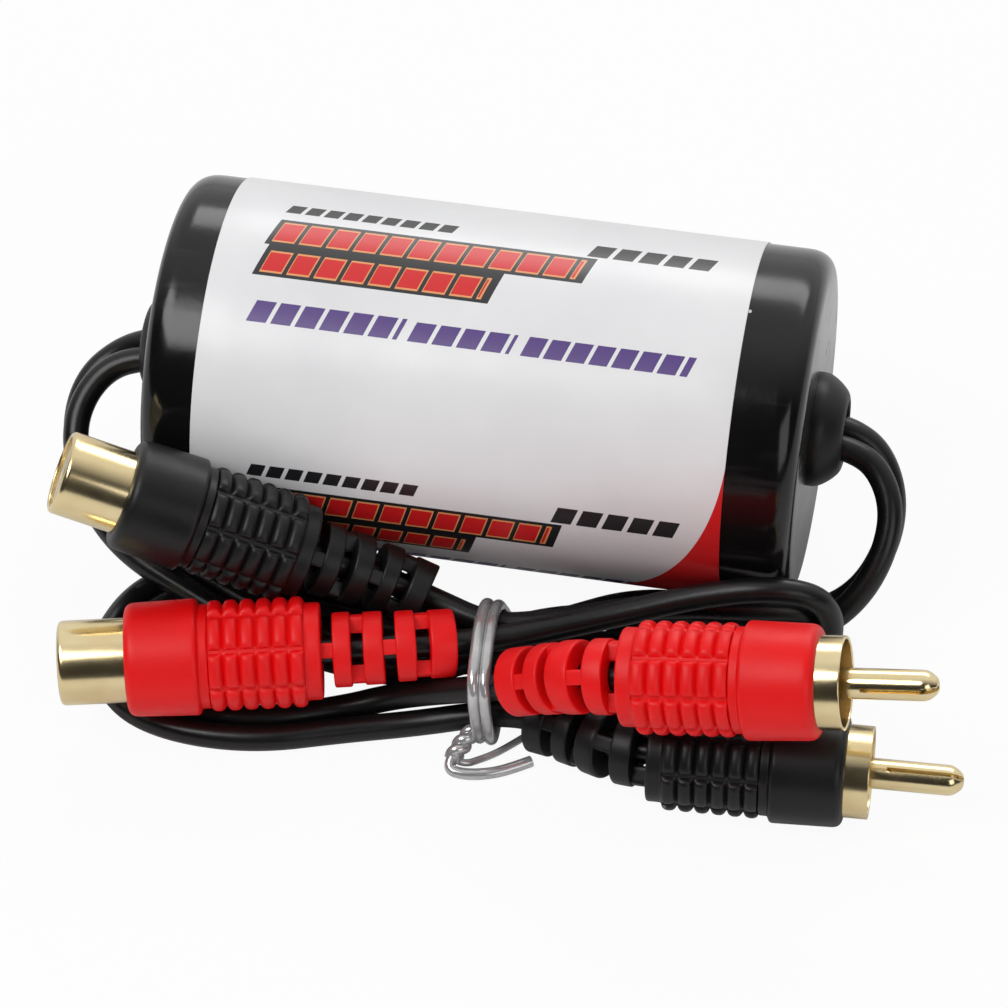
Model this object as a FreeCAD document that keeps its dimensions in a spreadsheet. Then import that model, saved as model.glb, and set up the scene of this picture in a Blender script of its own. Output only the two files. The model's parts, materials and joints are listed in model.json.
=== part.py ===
import math
import os

import FreeCAD
import Part
import Sketcher
from FreeCAD import Placement, Rotation, Vector

# Ground loop isolator: a round housing with two transformers inside, a twin lead at
# each end, two female phono jacks at the left lead, two male phono plugs at the right
# lead, and a twist tie that holds the folded leads in front of the housing.
# Millimetres, +Z up, +X to the right along the housing, origin on the table under
# the middle of the housing.

os.makedirs("parts", exist_ok=True)
doc = FreeCAD.newDocument("ground_loop_isolator")

# Driving sizes.
SIZES = {
    # housing
    "housing_half": 35.0,
    "housing_radius": 19.0,
    "housing_wall": 1.8,
    "end_wall": 2.0,
    "end_rounding": 3.0,
    "lap_length": 3.0,
    "lap_clearance": 0.06,
    "grommet_bore": 4.6,
    # wrapped label
    "label_thickness": 0.15,
    "label_left_margin": 5.95,
    "label_right_margin": 7.35,
    # rubber grommets
    "grommet_radius": 6.15,
    "grommet_hole": 3.3,
    "grommet_proud": 3.3,
    "grommet_edge": 0.9,
    "grommet_lip": 4.1,
    "grommet_inner_radius": 5.9,
    "grommet_inner_flange": 1.3,
    # circuit board and its rails
    "board_end_gap": 5.0,
    "board_edge_gap": 1.1,
    "board_thickness": 1.6,
    "board_drop": 7.0,
    "rail_root": 0.49,
    "rail_width": 2.0,
    "rail_thickness": 1.2,
    "rail_length": 12.0,
    "rail_start": 12.0,
    # transformers
    "core_width": 16.0,
    "core_height": 13.6,
    "core_stack": 6.0,
    "core_leg": 4.8,
    "core_rim": 2.4,
    "core_offset": 11.0,
    "bobbin_clearance": 0.1,
    "bobbin_wall": 0.6,
    "bobbin_flange": 2.3,
    "bobbin_play": 0.1,
    "primary_depth": 1.0,
    "secondary_depth": 0.9,
    "clamp_sheet": 0.5,
    "clamp_width": 5.0,
    "clamp_foot": 1.6,
    # ties that hold the leads inside
    "tie_gap": 0.8,
    "tie_width": 2.0,
    "tie_band": 0.8,
    "tie_half_height": 1.6,
    "tie_half_span": 1.56,
    "tie_drop": 1.13,
    "tie_head": 2.6,
    # lead conductors
    "cord_diameter": 2.8,
    # connector boots, measured back from the front face
    "collar_radius": 6.15,
    "collar_length": 7.5,
    "collar_rounding": 0.7,
    "neck_radius": 5.45,
    "neck_end": 8.7,
    "rib_radius": 5.8,
    "rib_base": 5.35,
    "rib_core": 4.9,
    "rib_lead": 0.25,
    "rib_thickness": 1.0,
    "rib_pitch": 1.72,
    "tail_radius": 5.1,
    "tail_start": 18.5,
    "tail_end": 20.5,
    "boot_bore": 1.52,
    "boot_bore_depth": 4.4,
    "relief_bore_clearance": 0.2,
    "bridge_width": 2.6,
    "socket_depth": 6.0,
    # jack metal and plastic
    "barrel_radius": 4.45,
    "root_radius": 3.7,
    "root_bore": 3.1,
    "root_step": 0.6,
    "shoulder_gap": 0.1,
    "barrel_bore": 3.8,
    "barrel_length": 7.0,
    "barrel_rounding": 0.6,
    "jack_recess": 0.6,
    "socket_radius": 2.2,
    "socket_bore": 1.66,
    "socket_length": 11.0,
    "socket_floor": 1.0,
    # plug metal and plastic
    "shell_radius": 4.85,
    "shell_bore": 4.5,
    "shell_length": 2.55,
    "plug_insulator_face": 3.6,
    "pin_radius": 1.6,
    "pin_stem": 1.3,
    "pin_stem_proud": 0.3,
    "pin_tip": 12.1,
    "pin_slot_width": 0.35,
    "pin_slot_length": 8.0,
    # twist tie
    "wire_diameter": 1.15,
    "wire_tail": 1.1,
    "wire_thin": 0.8,
    "wire_gap": 0.03,
    "wire_pitch": 1.15,
    "wire_first": 3.7,
}
CORD_SIDES = 8
RELIEF_SIDES = 12
SLOT_OVERRUN = 1.0

# Sizes that follow from the others.
DERIVED = {
    "axis_height": "=housing_radius + label_thickness",
    "label_left": "=label_left_margin - housing_half",
    "label_right": "=housing_half - label_right_margin",
    "rail_outer": "=sqrt((housing_radius - housing_wall) ^ 2 - board_drop ^ 2) + rail_root",
    "rail_inner": "=rail_outer - rail_width",
    "board_half_length": "=housing_half - end_wall - board_end_gap",
    "board_half_width": "=rail_outer - board_edge_gap",
    "bobbin_height": "=core_height - 2 * core_rim - 2 * bobbin_play",
    "tie_at": "=housing_half - end_wall - grommet_inner_flange - tie_gap - 0.5 * (tie_width + tie_band)",
    "tie_height": "=axis_height - tie_drop",
}

sheet = doc.addObject("Spreadsheet::Sheet", "dims")
for row, (alias, size) in enumerate(list(SIZES.items()) + list(DERIVED.items()), start=1):
    sheet.set("A%d" % row, alias)
    sheet.set("B%d" % row, size if alias in DERIVED else repr(size))
    sheet.setAlias("B%d" % row, alias)
    doc.recompute()


def dim(alias):
    """Value of a named size from the sheet."""
    return float(sheet.get(alias))


# Helpers.
def plane_of(body, role):
    """Origin plane or axis of a body by its role."""
    return [item for item in body.Origin.OriginFeatures if item.Role == role][0]


def new_body(label):
    body = doc.addObject("PartDesign::Body", label)
    body.Label = label
    return body


def polygon_sketch(body, name, role, points, offset=None):
    """Closed polygon whose corners are driven by pairs of sheet expressions."""
    sketch = body.newObject("Sketcher::SketchObject", name)
    sketch.AttachmentSupport = [(plane_of(body, role), "")]
    sketch.MapMode = "FlatFace"
    if offset:
        sketch.setExpression("AttachmentOffset.Base.z", offset)
    probe = [(evaluate(a), evaluate(b)) for a, b in points]
    count = len(probe)
    for index in range(count):
        start, end = probe[index], probe[(index + 1) % count]
        sketch.addGeometry(Part.LineSegment(Vector(start[0], start[1], 0), Vector(end[0], end[1], 0)), False)
    for index in range(count):
        sketch.addConstraint(Sketcher.Constraint("Coincident", index, 2, (index + 1) % count, 1))
    for index, (horizontal, vertical) in enumerate(points):
        pin_corner(sketch, index, "DistanceX", -2, horizontal, probe[index][0])
        pin_corner(sketch, index, "DistanceY", -1, vertical, probe[index][1])
    return sketch


def pin_corner(sketch, index, kind, axis, expression, size):
    """Hold one coordinate of a corner to its sheet expression."""
    if abs(size) < 1e-9:
        sketch.addConstraint(Sketcher.Constraint("PointOnObject", index, 1, axis))
        return
    number = sketch.addConstraint(Sketcher.Constraint(kind, -1, 1, index, 1, size))
    sketch.setExpression("Constraints[%d]" % number, expression)


def evaluate(expression):
    """Number that a sheet expression gives now."""
    names = {alias: dim(alias) for alias in list(SIZES) + list(DERIVED)}
    text = expression.replace("dims.", "")
    total = 0.0
    for sign, term in signed_terms(text):
        product = 1.0
        for factor in term.split("*"):
            factor = factor.strip()
            product *= names[factor] if factor in names else float(factor)
        total += sign * product
    return total


def signed_terms(text):
    """Split a sum into its signed terms."""
    pieces = text.replace("-", "+-").split("+")
    result = []
    for piece in pieces:
        piece = piece.strip()
        if piece:
            result.append((-1.0, piece[1:].strip()) if piece.startswith("-") else (1.0, piece))
    return result


def turned(label, points):
    """Body made by turning a profile in the XY plane about the X axis."""
    body = new_body(label)
    sketch = polygon_sketch(body, label + "_profile", "XY_Plane", points)
    turn = body.newObject("PartDesign::Revolution", label + "_turn")
    turn.Profile = sketch
    turn.ReferenceAxis = (sketch, ["H_Axis"])
    turn.Angle = 360.0
    doc.recompute()
    return body


def padded(body, name, role, points, length, offset=None, cut=False, midplane=False, reverse=False):
    """Pad or pocket of a polygon sketch."""
    sketch = polygon_sketch(body, name + "_sketch", role, points, offset)
    kind = "PartDesign::Pocket" if cut else "PartDesign::Pad"
    feature = body.newObject(kind, name)
    feature.Profile = sketch
    feature.Midplane = midplane
    feature.Reversed = reverse
    feature.setExpression("Length", length)
    doc.recompute()
    return feature


def rectangle(left, right, low, high):
    return [(left, low), (right, low), (right, high), (left, high)]


def lift(item, x="0", y="0", z="dims.axis_height"):
    """Place an item by sheet expressions."""
    item.setExpression("Placement.Base.x", x)
    item.setExpression("Placement.Base.y", y)
    item.setExpression("Placement.Base.z", z)


def rounded_run(points, share=0.45):
    """Edges of straight runs joined by tangent arcs, and the arcs' radii."""
    corners = [Vector(*point) for point in points]
    edges, radii = [], []
    current = corners[0]
    for before, corner, after in zip(corners, corners[1:], corners[2:]):
        incoming = (corner - before).normalize()
        outgoing = (after - corner).normalize()
        reach = share * min((corner - before).Length, (after - corner).Length)
        start = corner - incoming * reach
        end = corner + outgoing * reach
        half_turn = incoming.getAngle(outgoing) / 2.0
        radius = reach / math.tan(half_turn)
        bisector = (outgoing - incoming).normalize()
        middle = corner + bisector * (radius / math.cos(half_turn) - radius)
        edges.append(Part.LineSegment(current, start).toShape())
        edges.append(Part.Arc(start, middle, end).toShape())
        radii.append(radius)
        current = end
    edges.append(Part.LineSegment(current, corners[-1]).toShape())
    return edges, radii


def many_sided(centre, along, radius, sides, start_angle=0.5):
    """Closed regular polygon about a point, square to a direction."""
    across = along.cross(Vector(0, 0, 1))
    if across.Length < 1e-6:
        across = Vector(0, 1, 0)
    across.normalize()
    up = along.cross(across).normalize()
    corners = []
    for side in range(sides):
        angle = 2.0 * math.pi * (side + start_angle) / sides
        corners.append(centre + across * (radius * math.cos(angle)) + up * (radius * math.sin(angle)))
    return Part.makePolygon(corners + [corners[0]])


def tube(edges, diameter):
    """Eight-sided solid swept along a chain of tangent edges."""
    first = edges[0]
    centre, along = first.valueAt(first.FirstParameter), first.tangentAt(first.FirstParameter)
    section = many_sided(centre, along, diameter / 2.0, CORD_SIDES)
    return Part.Wire(edges).makePipeShell([section], True, False)


def prism(centre, along, radius, width, sides):
    """Regular prism whose middle is at a point, lying along a direction."""
    base = many_sided(centre - along * (width / 2.0), along, radius, sides)
    return Part.Face(base).extrude(along * width)


def point_along(edges, distance):
    """Point and direction at a distance from the start of a chain of edges."""
    for edge in edges:
        if distance <= edge.Length or edge is edges[-1]:
            parameter = edge.getParameterByLength(min(distance, edge.Length))
            return edge.valueAt(parameter), edge.tangentAt(parameter)
        distance -= edge.Length


def solid_feature(label, shape):
    item = doc.addObject("Part::Feature", label)
    item.Label = label
    item.Shape = shape
    return item


def joined(label, items):
    """Union of several objects as one sub-part."""
    union = doc.addObject("Part::MultiFuse", label)
    union.Label = label
    union.Shapes = items
    doc.recompute()
    return union


# Housing shells.
# Steps of the rounded end, as shares of its radius: along the axis, inwards.
ROUNDING_STEPS = [("0.3", "0.3"), ("1.0", "0.0")]


def shell(label, side, spigot):
    """One deep cup of the housing; the left one carries the spigot of the lap joint."""
    flip = "-1 * " if side < 0 else ""
    outer_end = flip + "dims.housing_half"
    inner_end = outer_end + (" + dims.end_wall" if side < 0 else " - dims.end_wall")
    lap = "dims.housing_radius - 0.5 * dims.housing_wall"
    bore = "dims.housing_radius - dims.housing_wall"
    if spigot:
        mouth = [("0", "dims.housing_radius"), ("0", lap),
                 ("dims.lap_length", lap), ("dims.lap_length", bore)]
    else:
        loose = lap + " + dims.lap_clearance"
        back = "dims.lap_length + dims.lap_clearance"
        mouth = [("0", "dims.housing_radius"), ("0", loose), (back, loose), (back, bore)]
    toward = " + " if side < 0 else " - "
    points = [(outer_end, "dims.grommet_bore"), (outer_end, "dims.housing_radius - dims.end_rounding")]
    for along, across in ROUNDING_STEPS:
        points.append((outer_end + toward + "%s * dims.end_rounding" % along,
                       "dims.housing_radius - %s * dims.end_rounding" % across))
    points += mouth
    points += [(inner_end, bore), (inner_end, "dims.grommet_bore")]
    body = turned(label, points)
    for number, sign in enumerate((1, -1)):
        low = "-1 * dims.board_drop - dims.rail_thickness"
        high = "-1 * dims.board_drop"
        if sign > 0:
            corners = rectangle("dims.rail_inner", "dims.rail_outer", low, high)
        else:
            corners = rectangle("-1 * dims.rail_outer", "-1 * dims.rail_inner", low, high)
        offset = "dims.rail_start" if side > 0 else "-1 * dims.rail_start - dims.rail_length"
        padded(body, "%s_rail_%d" % (label, number), "YZ_Plane", corners, "dims.rail_length", offset)
    lift(body)
    return body


shell("left_shell", -1, True)
shell("right_shell", 1, False)


# Label and grommets.
label = turned("label", [
    ("dims.label_left", "dims.housing_radius"),
    ("dims.label_left", "dims.housing_radius + dims.label_thickness"),
    ("dims.label_right", "dims.housing_radius + dims.label_thickness"),
    ("dims.label_right", "dims.housing_radius"),
])
lift(label)


def grommet(name, side):
    """Rubber grommet: domed outer flange, neck in the wall, inner flange."""
    sign = "-1 * " if side < 0 else ""
    plus = " - " if side < 0 else " + "
    minus = " + " if side < 0 else " - "
    face = sign + "dims.housing_half"
    back = face + minus + "dims.end_wall"
    inner = back + minus + "dims.grommet_inner_flange"
    points = [
        (inner, "dims.grommet_hole"),
        (inner, "dims.grommet_inner_radius"),
        (back, "dims.grommet_inner_radius"),
        (back, "dims.grommet_bore"),
        (face, "dims.grommet_bore"),
        (face, "dims.grommet_radius"),
        (face + plus + "dims.grommet_edge", "dims.grommet_radius"),
        (face + plus + "0.72 * dims.grommet_proud", "0.55 * dims.grommet_radius + 0.45 * dims.grommet_lip"),
        (face + plus + "dims.grommet_proud", "dims.grommet_lip"),
        (face + plus + "dims.grommet_proud", "dims.grommet_hole"),
    ]
    body = turned(name, points)
    lift(body)
    return body


grommet("left_grommet", -1)
grommet("right_grommet", 1)

# Circuit board.
board = new_body("circuit_board")
padded(board, "board_pad", "XY_Plane",
       rectangle("-1 * dims.board_half_length", "dims.board_half_length",
                 "-1 * dims.board_half_width", "dims.board_half_width"),
       "dims.board_thickness")
lift(board, z="dims.axis_height - dims.board_drop")


# Transformers.
def transformer(prefix, side):
    """Core, bobbin, two windings and clamp of one audio transformer."""
    where = "dims.core_offset" if side > 0 else "-1 * dims.core_offset"
    floor = "dims.axis_height - dims.board_drop + dims.board_thickness"
    middle = floor + " + 0.5 * dims.core_height"
    window_top = "0.5 * dims.core_height - dims.core_rim"

    core = new_body(prefix + "_core")
    padded(core, prefix + "_core_block", "XZ_Plane",
           rectangle("-0.5 * dims.core_width", "0.5 * dims.core_width",
                     "-0.5 * dims.core_height", "0.5 * dims.core_height"),
           "dims.core_stack", midplane=True)
    windows = (("dims.core_rim - 0.5 * dims.core_width", "-0.5 * dims.core_leg"),
               ("0.5 * dims.core_leg", "0.5 * dims.core_width - dims.core_rim"))
    for number, (left, right) in enumerate(windows):
        corners = rectangle(left, right, "dims.core_rim - 0.5 * dims.core_height", window_top)
        padded(core, "%s_window_%d" % (prefix, number), "XZ_Plane", corners,
               "2 * dims.core_stack", cut=True, midplane=True)
    lift(core, where, "0", middle)

    def frame_piece(name, half_x, half_y, grow, height, base):
        """Rectangular tube about the core's centre leg."""
        outer = doc.addObject("Part::Box", name + "_outer")
        inner = doc.addObject("Part::Box", name + "_inner")
        for box, extra in ((outer, " + " + grow), (inner, "")):
            box.setExpression("Length", "2 * (%s%s)" % (half_x, extra))
            box.setExpression("Width", "2 * (%s%s)" % (half_y, extra))
            box.setExpression("Height", height)
            box.setExpression("Placement.Base.x", "-1 * (%s%s)" % (half_x, extra))
            box.setExpression("Placement.Base.y", "-1 * (%s%s)" % (half_y, extra))
            box.setExpression("Placement.Base.z", base)
        cut = doc.addObject("Part::Cut", name)
        cut.Base = outer
        cut.Tool = inner
        doc.recompute()
        return cut

    leg_x = "0.5 * dims.core_leg + dims.bobbin_clearance"
    leg_y = "0.5 * dims.core_stack + dims.bobbin_clearance"
    low = "-0.5 * dims.bobbin_height"
    sleeve = frame_piece(prefix + "_sleeve", leg_x, leg_y, "dims.bobbin_wall", "dims.bobbin_height", low)
    flange = "dims.bobbin_wall + dims.bobbin_flange"
    bottom = frame_piece(prefix + "_flange_low", leg_x, leg_y, flange, "dims.bobbin_wall", low)
    top = frame_piece(prefix + "_flange_high", leg_x, leg_y, flange, "dims.bobbin_wall",
                      "0.5 * dims.bobbin_height - dims.bobbin_wall")
    bobbin = joined(prefix + "_bobbin", [sleeve, bottom, top])
    lift(bobbin, where, "0", middle)

    wound = "dims.bobbin_height - 2 * dims.bobbin_wall"
    wound_low = low + " + dims.bobbin_wall"
    primary = frame_piece(prefix + "_primary", leg_x + " + dims.bobbin_wall", leg_y + " + dims.bobbin_wall",
                          "dims.primary_depth", wound, wound_low)
    lift(primary, where, "0", middle)
    packed = " + dims.bobbin_wall + dims.primary_depth"
    secondary = frame_piece(prefix + "_secondary", leg_x + packed, leg_y + packed,
                            "dims.secondary_depth", wound, wound_low)
    lift(secondary, where, "0", middle)

    clamp = new_body(prefix + "_clamp")
    half = "0.5 * dims.core_width"
    thick = " + dims.clamp_sheet"
    foot = thick + " + dims.clamp_foot"
    points = [
        ("-" + half + " - dims.clamp_sheet - dims.clamp_foot", "0"),
        ("-" + half, "0"),
        ("-" + half, "dims.core_height"),
        (half, "dims.core_height"),
        (half, "0"),
        (half + foot, "0"),
        (half + foot, "dims.clamp_sheet"),
        (half + thick, "dims.clamp_sheet"),
        (half + thick, "dims.core_height + dims.clamp_sheet"),
        ("-" + half + " - dims.clamp_sheet", "dims.core_height + dims.clamp_sheet"),
        ("-" + half + " - dims.clamp_sheet", "dims.clamp_sheet"),
        ("-" + half + " - dims.clamp_sheet - dims.clamp_foot", "dims.clamp_sheet"),
    ]
    padded(clamp, prefix + "_clamp_strap", "XZ_Plane", points, "dims.clamp_width", midplane=True)
    lift(clamp, where, "0", floor)


transformer("left_transformer", -1)
transformer("right_transformer", 1)


# Ties that hold the leads inside.
def lead_tie(name, side):
    """Band and head that hold the two conductors behind a grommet."""
    span, height = dim("tie_half_span"), dim("tie_half_height")
    band, width = dim("tie_band"), dim("tie_width")
    start = -width / 2.0

    def oval(radius):
        first = Part.makeCylinder(radius, width, Vector(start, -span, 0), Vector(1, 0, 0))
        second = Part.makeCylinder(radius, width, Vector(start, span, 0), Vector(1, 0, 0))
        middle = Part.makeBox(width, 2 * span, 2 * radius, Vector(start, -span, -radius))
        return first.fuse([second, middle])

    head_size = dim("tie_head")
    corner = Vector(start - band / 2, -head_size / 2, height + band / 2)
    head = Part.makeBox(width + band, head_size, head_size, corner)
    shape = oval(height + band).fuse(head).cut(oval(height)).removeSplitter()
    item = solid_feature(name, shape)
    lift(item, "%s dims.tie_at" % ("-1 *" if side < 0 else "1 *"), "0", "dims.tie_height")
    return item


lead_tie("left_lead_tie", -1)
lead_tie("right_lead_tie", 1)

# Lead conductors.
# Route points in millimetres, from the end on the circuit board to the end in the boot.
ROUTES = {
    "black_jack_lead": [
        (-21.2, 4.4, 15.15), (-24.6, 3.3, 15.7), (-27.6, 1.6, 17.8), (-31.5, 1.45, 18.25),
        (-35.6, 1.5, 18.3), (-38.4, 1.45, 18.1), (-41.8, 1.6, 16.0), (-44.8, -0.6, 13.8),
        (-45.7, -4.4, 11.3), (-44.6, -8.6, 8.2), (-41.4, -13.0, 5.8), (-36.2, -16.6, 4.6),
        (-28.6, -19.4, 4.7), (-20.5, -22.3, 2.8), (-12.0, -23.4, 1.4), (-3.0, -25.2, 1.4),
        (4.4, -24.9, 2.95), (10.5, -21.4, 1.7), (17.5, -17.75, 1.4), (25.0, -16.9, 1.4),
        (31.0, -16.7, 1.4), (36.0, -16.3, 2.2), (38.2, -15.8, 5.4), (36.8, -16.9, 9.0),
        (31.0, -18.6, 9.6), (23.5, -19.5, 9.6), (16.5, -21.3, 9.0), (10.2, -23.5, 8.4),
        (4.4, -24.9, 8.2), (-2.4, -23.2, 9.4), (-8.1, -23.1, 11.8), (-13.3, -24.27, 14.19),
        (-19.38, -24.89, 16.59),
    ],
    "red_jack_lead": [
        (-21.2, -4.4, 15.15), (-24.6, -3.3, 15.7), (-27.6, -1.6, 17.8), (-31.5, -1.45, 18.25),
        (-35.6, -1.5, 18.3), (-38.4, -1.45, 18.1), (-41.8, -2.4, 17.2), (-44.1, -4.8, 15.2),
        (-44.8, -8.2, 12.8), (-43.4, -12.2, 10.0), (-40.2, -16.4, 7.7), (-35.6, -20.0, 6.2),
        (-28.8, -22.7, 4.9), (-21.0, -25.2, 2.4), (-12.0, -26.8, 1.4), (-3.4, -28.5, 2.7),
        (4.4, -26.4, 5.5), (10.5, -22.7, 5.3), (17.5, -20.35, 2.8), (25.0, -19.9, 1.4),
        (32.5, -19.6, 1.4), (37.9, -19.0, 2.8), (40.2, -18.4, 7.4), (38.9, -18.9, 12.9),
        (34.0, -20.2, 14.9), (26.5, -20.9, 13.2), (18.0, -23.5, 11.3), (10.8, -26.2, 10.3),
        (4.4, -28.7, 9.9), (-1.6, -30.8, 10.35), (-7.6, -32.25, 10.05), (-13.96, -33.67, 9.83),
    ],
    "red_plug_lead": [
        (21.2, -4.4, 15.15), (24.6, -3.3, 15.7), (27.6, -1.6, 17.8), (31.5, -1.45, 18.25),
        (35.6, -1.5, 18.35), (38.6, -1.45, 18.35), (42.0, -2.2, 17.1), (44.3, -5.3, 14.3),
        (44.1, -8.7, 10.7), (42.1, -11.6, 6.6), (38.4, -13.1, 2.7), (32.5, -13.7, 1.4),
        (25.0, -14.0, 1.4), (17.5, -14.9, 1.9), (10.8, -18.9, 4.8), (4.4, -23.2, 5.55),
        (-3.0, -22.1, 2.7), (-12.0, -20.4, 1.4), (-21.5, -18.8, 1.4), (-28.0, -19.1, 1.4),
        (-32.2, -21.6, 1.4), (-34.0, -26.0, 1.4), (-33.7, -31.2, 1.4), (-30.8, -35.0, 1.4),
        (-25.6, -36.7, 1.4), (-18.0, -36.4, 1.4), (-9.8, -33.1, 1.4), (-5.3, -31.9, 2.7),
        (-0.5, -32.7, 5.3), (4.4, -34.1, 8.1), (8.0, -34.9, 10.6), (12.2, -35.9, 13.1),
        (17.53, -37.92, 16.71), (22.97, -37.9, 17.52),
    ],
    "black_plug_lead": [
        (21.2, 4.4, 15.15), (24.6, 3.3, 15.7), (27.6, 1.6, 17.8), (31.5, 1.45, 18.25),
        (35.6, 1.5, 18.35), (38.6, 1.45, 18.35), (42.0, 0.9, 16.3), (44.2, -1.7, 12.6),
        (44.2, -5.0, 8.7), (42.0, -8.6, 4.8), (37.8, -10.3, 1.9), (32.0, -10.7, 1.4),
        (25.0, -11.0, 1.4), (17.5, -11.8, 1.4), (10.8, -16.1, 1.5), (4.4, -21.7, 2.95),
        (-3.0, -18.8, 1.6), (-12.0, -17.4, 1.4), (-21.5, -15.8, 1.4), (-29.0, -16.1, 1.4),
        (-34.4, -19.0, 1.4), (-37.1, -25.2, 1.4), (-36.8, -31.8, 1.4), (-33.2, -37.2, 1.4),
        (-26.8, -39.6, 1.4), (-18.0, -39.4, 1.4), (-9.2, -36.2, 1.4), (-2.0, -34.0, 1.5),
        (4.4, -32.95, 3.0), (7.6, -32.6, 3.5), (11.2, -33.2, 4.1), (16.5, -35.2, 4.9),
        (21.0, -37.57, 5.92), (25.87, -37.37, 6.0),
    ],
}

chains = {}
for name, points in ROUTES.items():
    edges, radii = rounded_run(points)
    chains[name] = edges
    length = sum(edge.Length for edge in edges)
    lead = solid_feature(name, tube(edges, dim("cord_diameter")))
    section = 0.5 * CORD_SIDES * (dim("cord_diameter") / 2.0) ** 2 * math.sin(2.0 * math.pi / CORD_SIDES)
    share = lead.Shape.Volume / (section * length)
    print(name, "length %.1f smallest radius %.1f volume share %.4f" % (length, min(radii), share))

# Connector boots.
# Front face and pointing direction of each connector.
HEADS = {
    "red_jack": ((-32.0, -37.7, 9.2), (-0.975, -0.218, -0.034)),
    "black_jack": ((-34.4, -26.4, 22.5), (-0.927, -0.093, 0.365)),
    "red_plug": ((41.07, -37.8, 20.2), (0.9892, 0.0052, 0.1466)),
    "black_plug": ((44.16, -36.62, 6.31), (0.999, 0.0412, 0.0168)),
}
# Gap before each ring of the strain relief, ring width and ring radius.
RELIEF = [(1.2, 1.9, 3.95), (1.3, 2.1, 3.85), (1.3, 2.0, 3.72), (1.4, 2.6, 3.6)]
BRIDGE_OVERLAP = 0.4
BRIDGE_SINK = 0.4
BRIDGE_LIFT = 0.2
BORE_OVERRUN = 0.5
RIB_COUNT = 6
RIB_SIDES = 16


def head_placement(name):
    """Placement that lays the local +X axis along a connector's direction."""
    front, along = HEADS[name]
    turn = Rotation(Vector(1, 0, 0), Vector(*along))
    return Placement(Vector(*front), turn)


def boot_head(name):
    """Moulded head of a boot: collar, neck, ribs and tail ring."""
    back = "-1 * dims."
    socket = "dims.root_radius" if name.endswith("jack") else "dims.shell_radius"
    points = [
        ("0", socket),
        ("0", "dims.collar_radius - dims.collar_rounding"),
        (back + "collar_rounding", "dims.collar_radius"),
        (back + "collar_length", "dims.collar_radius"),
        (back + "collar_length", "dims.neck_radius"),
        (back + "neck_end", "dims.neck_radius"),
        (back + "neck_end", "dims.rib_core"),
        (back + "tail_start", "dims.rib_core"),
        (back + "tail_start", "dims.tail_radius"),
        (back + "tail_end", "dims.tail_radius"),
        (back + "tail_end", "0"),
        (back + "socket_depth", "0"),
        (back + "socket_depth", socket),
    ]
    body = turned(name + "_head", points)
    padded(body, name + "_rib_base", "YZ_Plane", ring_corners("rib_base"),
           "dims.tail_start - dims.neck_end", "-1 * dims.tail_start")
    rib = padded(body, name + "_rib", "YZ_Plane", ring_corners("rib_radius"), "dims.rib_thickness",
                 "-1 * dims.neck_end - dims.rib_thickness - dims.rib_lead")
    pattern = body.newObject("PartDesign::LinearPattern", name + "_ribs")
    pattern.Originals = [rib]
    pattern.Direction = (plane_of(body, "X_Axis"), [""])
    pattern.Reversed = True
    pattern.Occurrences = RIB_COUNT
    pattern.setExpression("Length", "%d * dims.rib_pitch" % (RIB_COUNT - 1))
    body.Tip = pattern
    padded(body, name + "_cable_bore", "YZ_Plane", ring_corners("boot_bore", RELIEF_SIDES),
           "dims.boot_bore_depth", "-1 * dims.tail_end", cut=True, reverse=True)
    doc.recompute()
    return body


def ring_corners(alias, sides=RIB_SIDES):
    """Corner expressions of a many-sided ring of a named radius."""
    corners = []
    for side in range(sides):
        angle = 2.0 * math.pi * (side + 0.5) / sides
        shares = (math.cos(angle), math.sin(angle))
        corners.append(tuple("%.6f * dims.%s" % (share, alias) for share in shares))
    return corners


def relief(name):
    """Ladder of rings and bridges threaded on the cable behind the head."""
    place = head_placement(name)
    edges = [edge.copy() for edge in chains[name + "_lead"]]
    total = sum(edge.Length for edge in edges)
    tail = place.multVec(Vector(-dim("tail_end"), 0, 0))
    end_point = Vector(*ROUTES[name + "_lead"][-1])
    inside = (end_point - tail).Length
    side = place.Rotation.multVec(Vector(0, math.sqrt(0.5), math.sqrt(0.5)))
    first_turned = 0 if name.endswith("plug") else 1
    bore = dim("cord_diameter") / 2.0 + dim("relief_bore_clearance")
    bridge = dim("bridge_width")

    def frame(distance):
        point, tangent = point_along(edges, total - inside - distance)
        return point, tangent.negative()

    def ring(start, width, radius):
        point, direction = frame(start + width / 2.0)
        outer = prism(point, direction, radius, width, RELIEF_SIDES)
        return outer.cut(prism(point, direction, bore, width + 2.0 * BORE_OVERRUN, RELIEF_SIDES))

    def bridges(start, gap, radius, turned_over):
        """Two bars over one gap, on opposite sides of the cable."""
        point, direction = frame(start + gap / 2.0)
        across = direction.cross(side).normalize() if turned_over else side
        across = (across - direction * across.dot(direction)).normalize()
        up = direction.cross(across).normalize()
        length = gap + 2.0 * BRIDGE_OVERLAP
        depth = radius - BRIDGE_SINK - bore - BRIDGE_LIFT
        bars = []
        for sign in (1.0, -1.0):
            low = bore + BRIDGE_LIFT if sign > 0 else -bore - BRIDGE_LIFT - depth
            bar = Part.makeBox(length, bridge, depth, Vector(-length / 2.0, -bridge / 2.0, low))
            bar.Placement = Placement(point, Rotation(direction, across, up, "XYZ"))
            bars.append(bar)
        return bars

    solids, reach = [], 0.0
    for index, (gap, width, radius) in enumerate(RELIEF):
        solids += bridges(reach, gap, radius, index % 2 == first_turned)
        reach += gap
        solids.append(ring(reach, width, radius))
        reach += width
    shape = solids[0].fuse(solids[1:])
    shape.transformShape(place.inverse().toMatrix())
    return solid_feature(name + "_relief", shape)


def boot(name):
    """Whole rubber boot of a connector."""
    union = joined(name + "_boot", [boot_head(name), relief(name)])
    union.Placement = head_placement(name)
    return union


for name in HEADS:
    boot(name)


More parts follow.
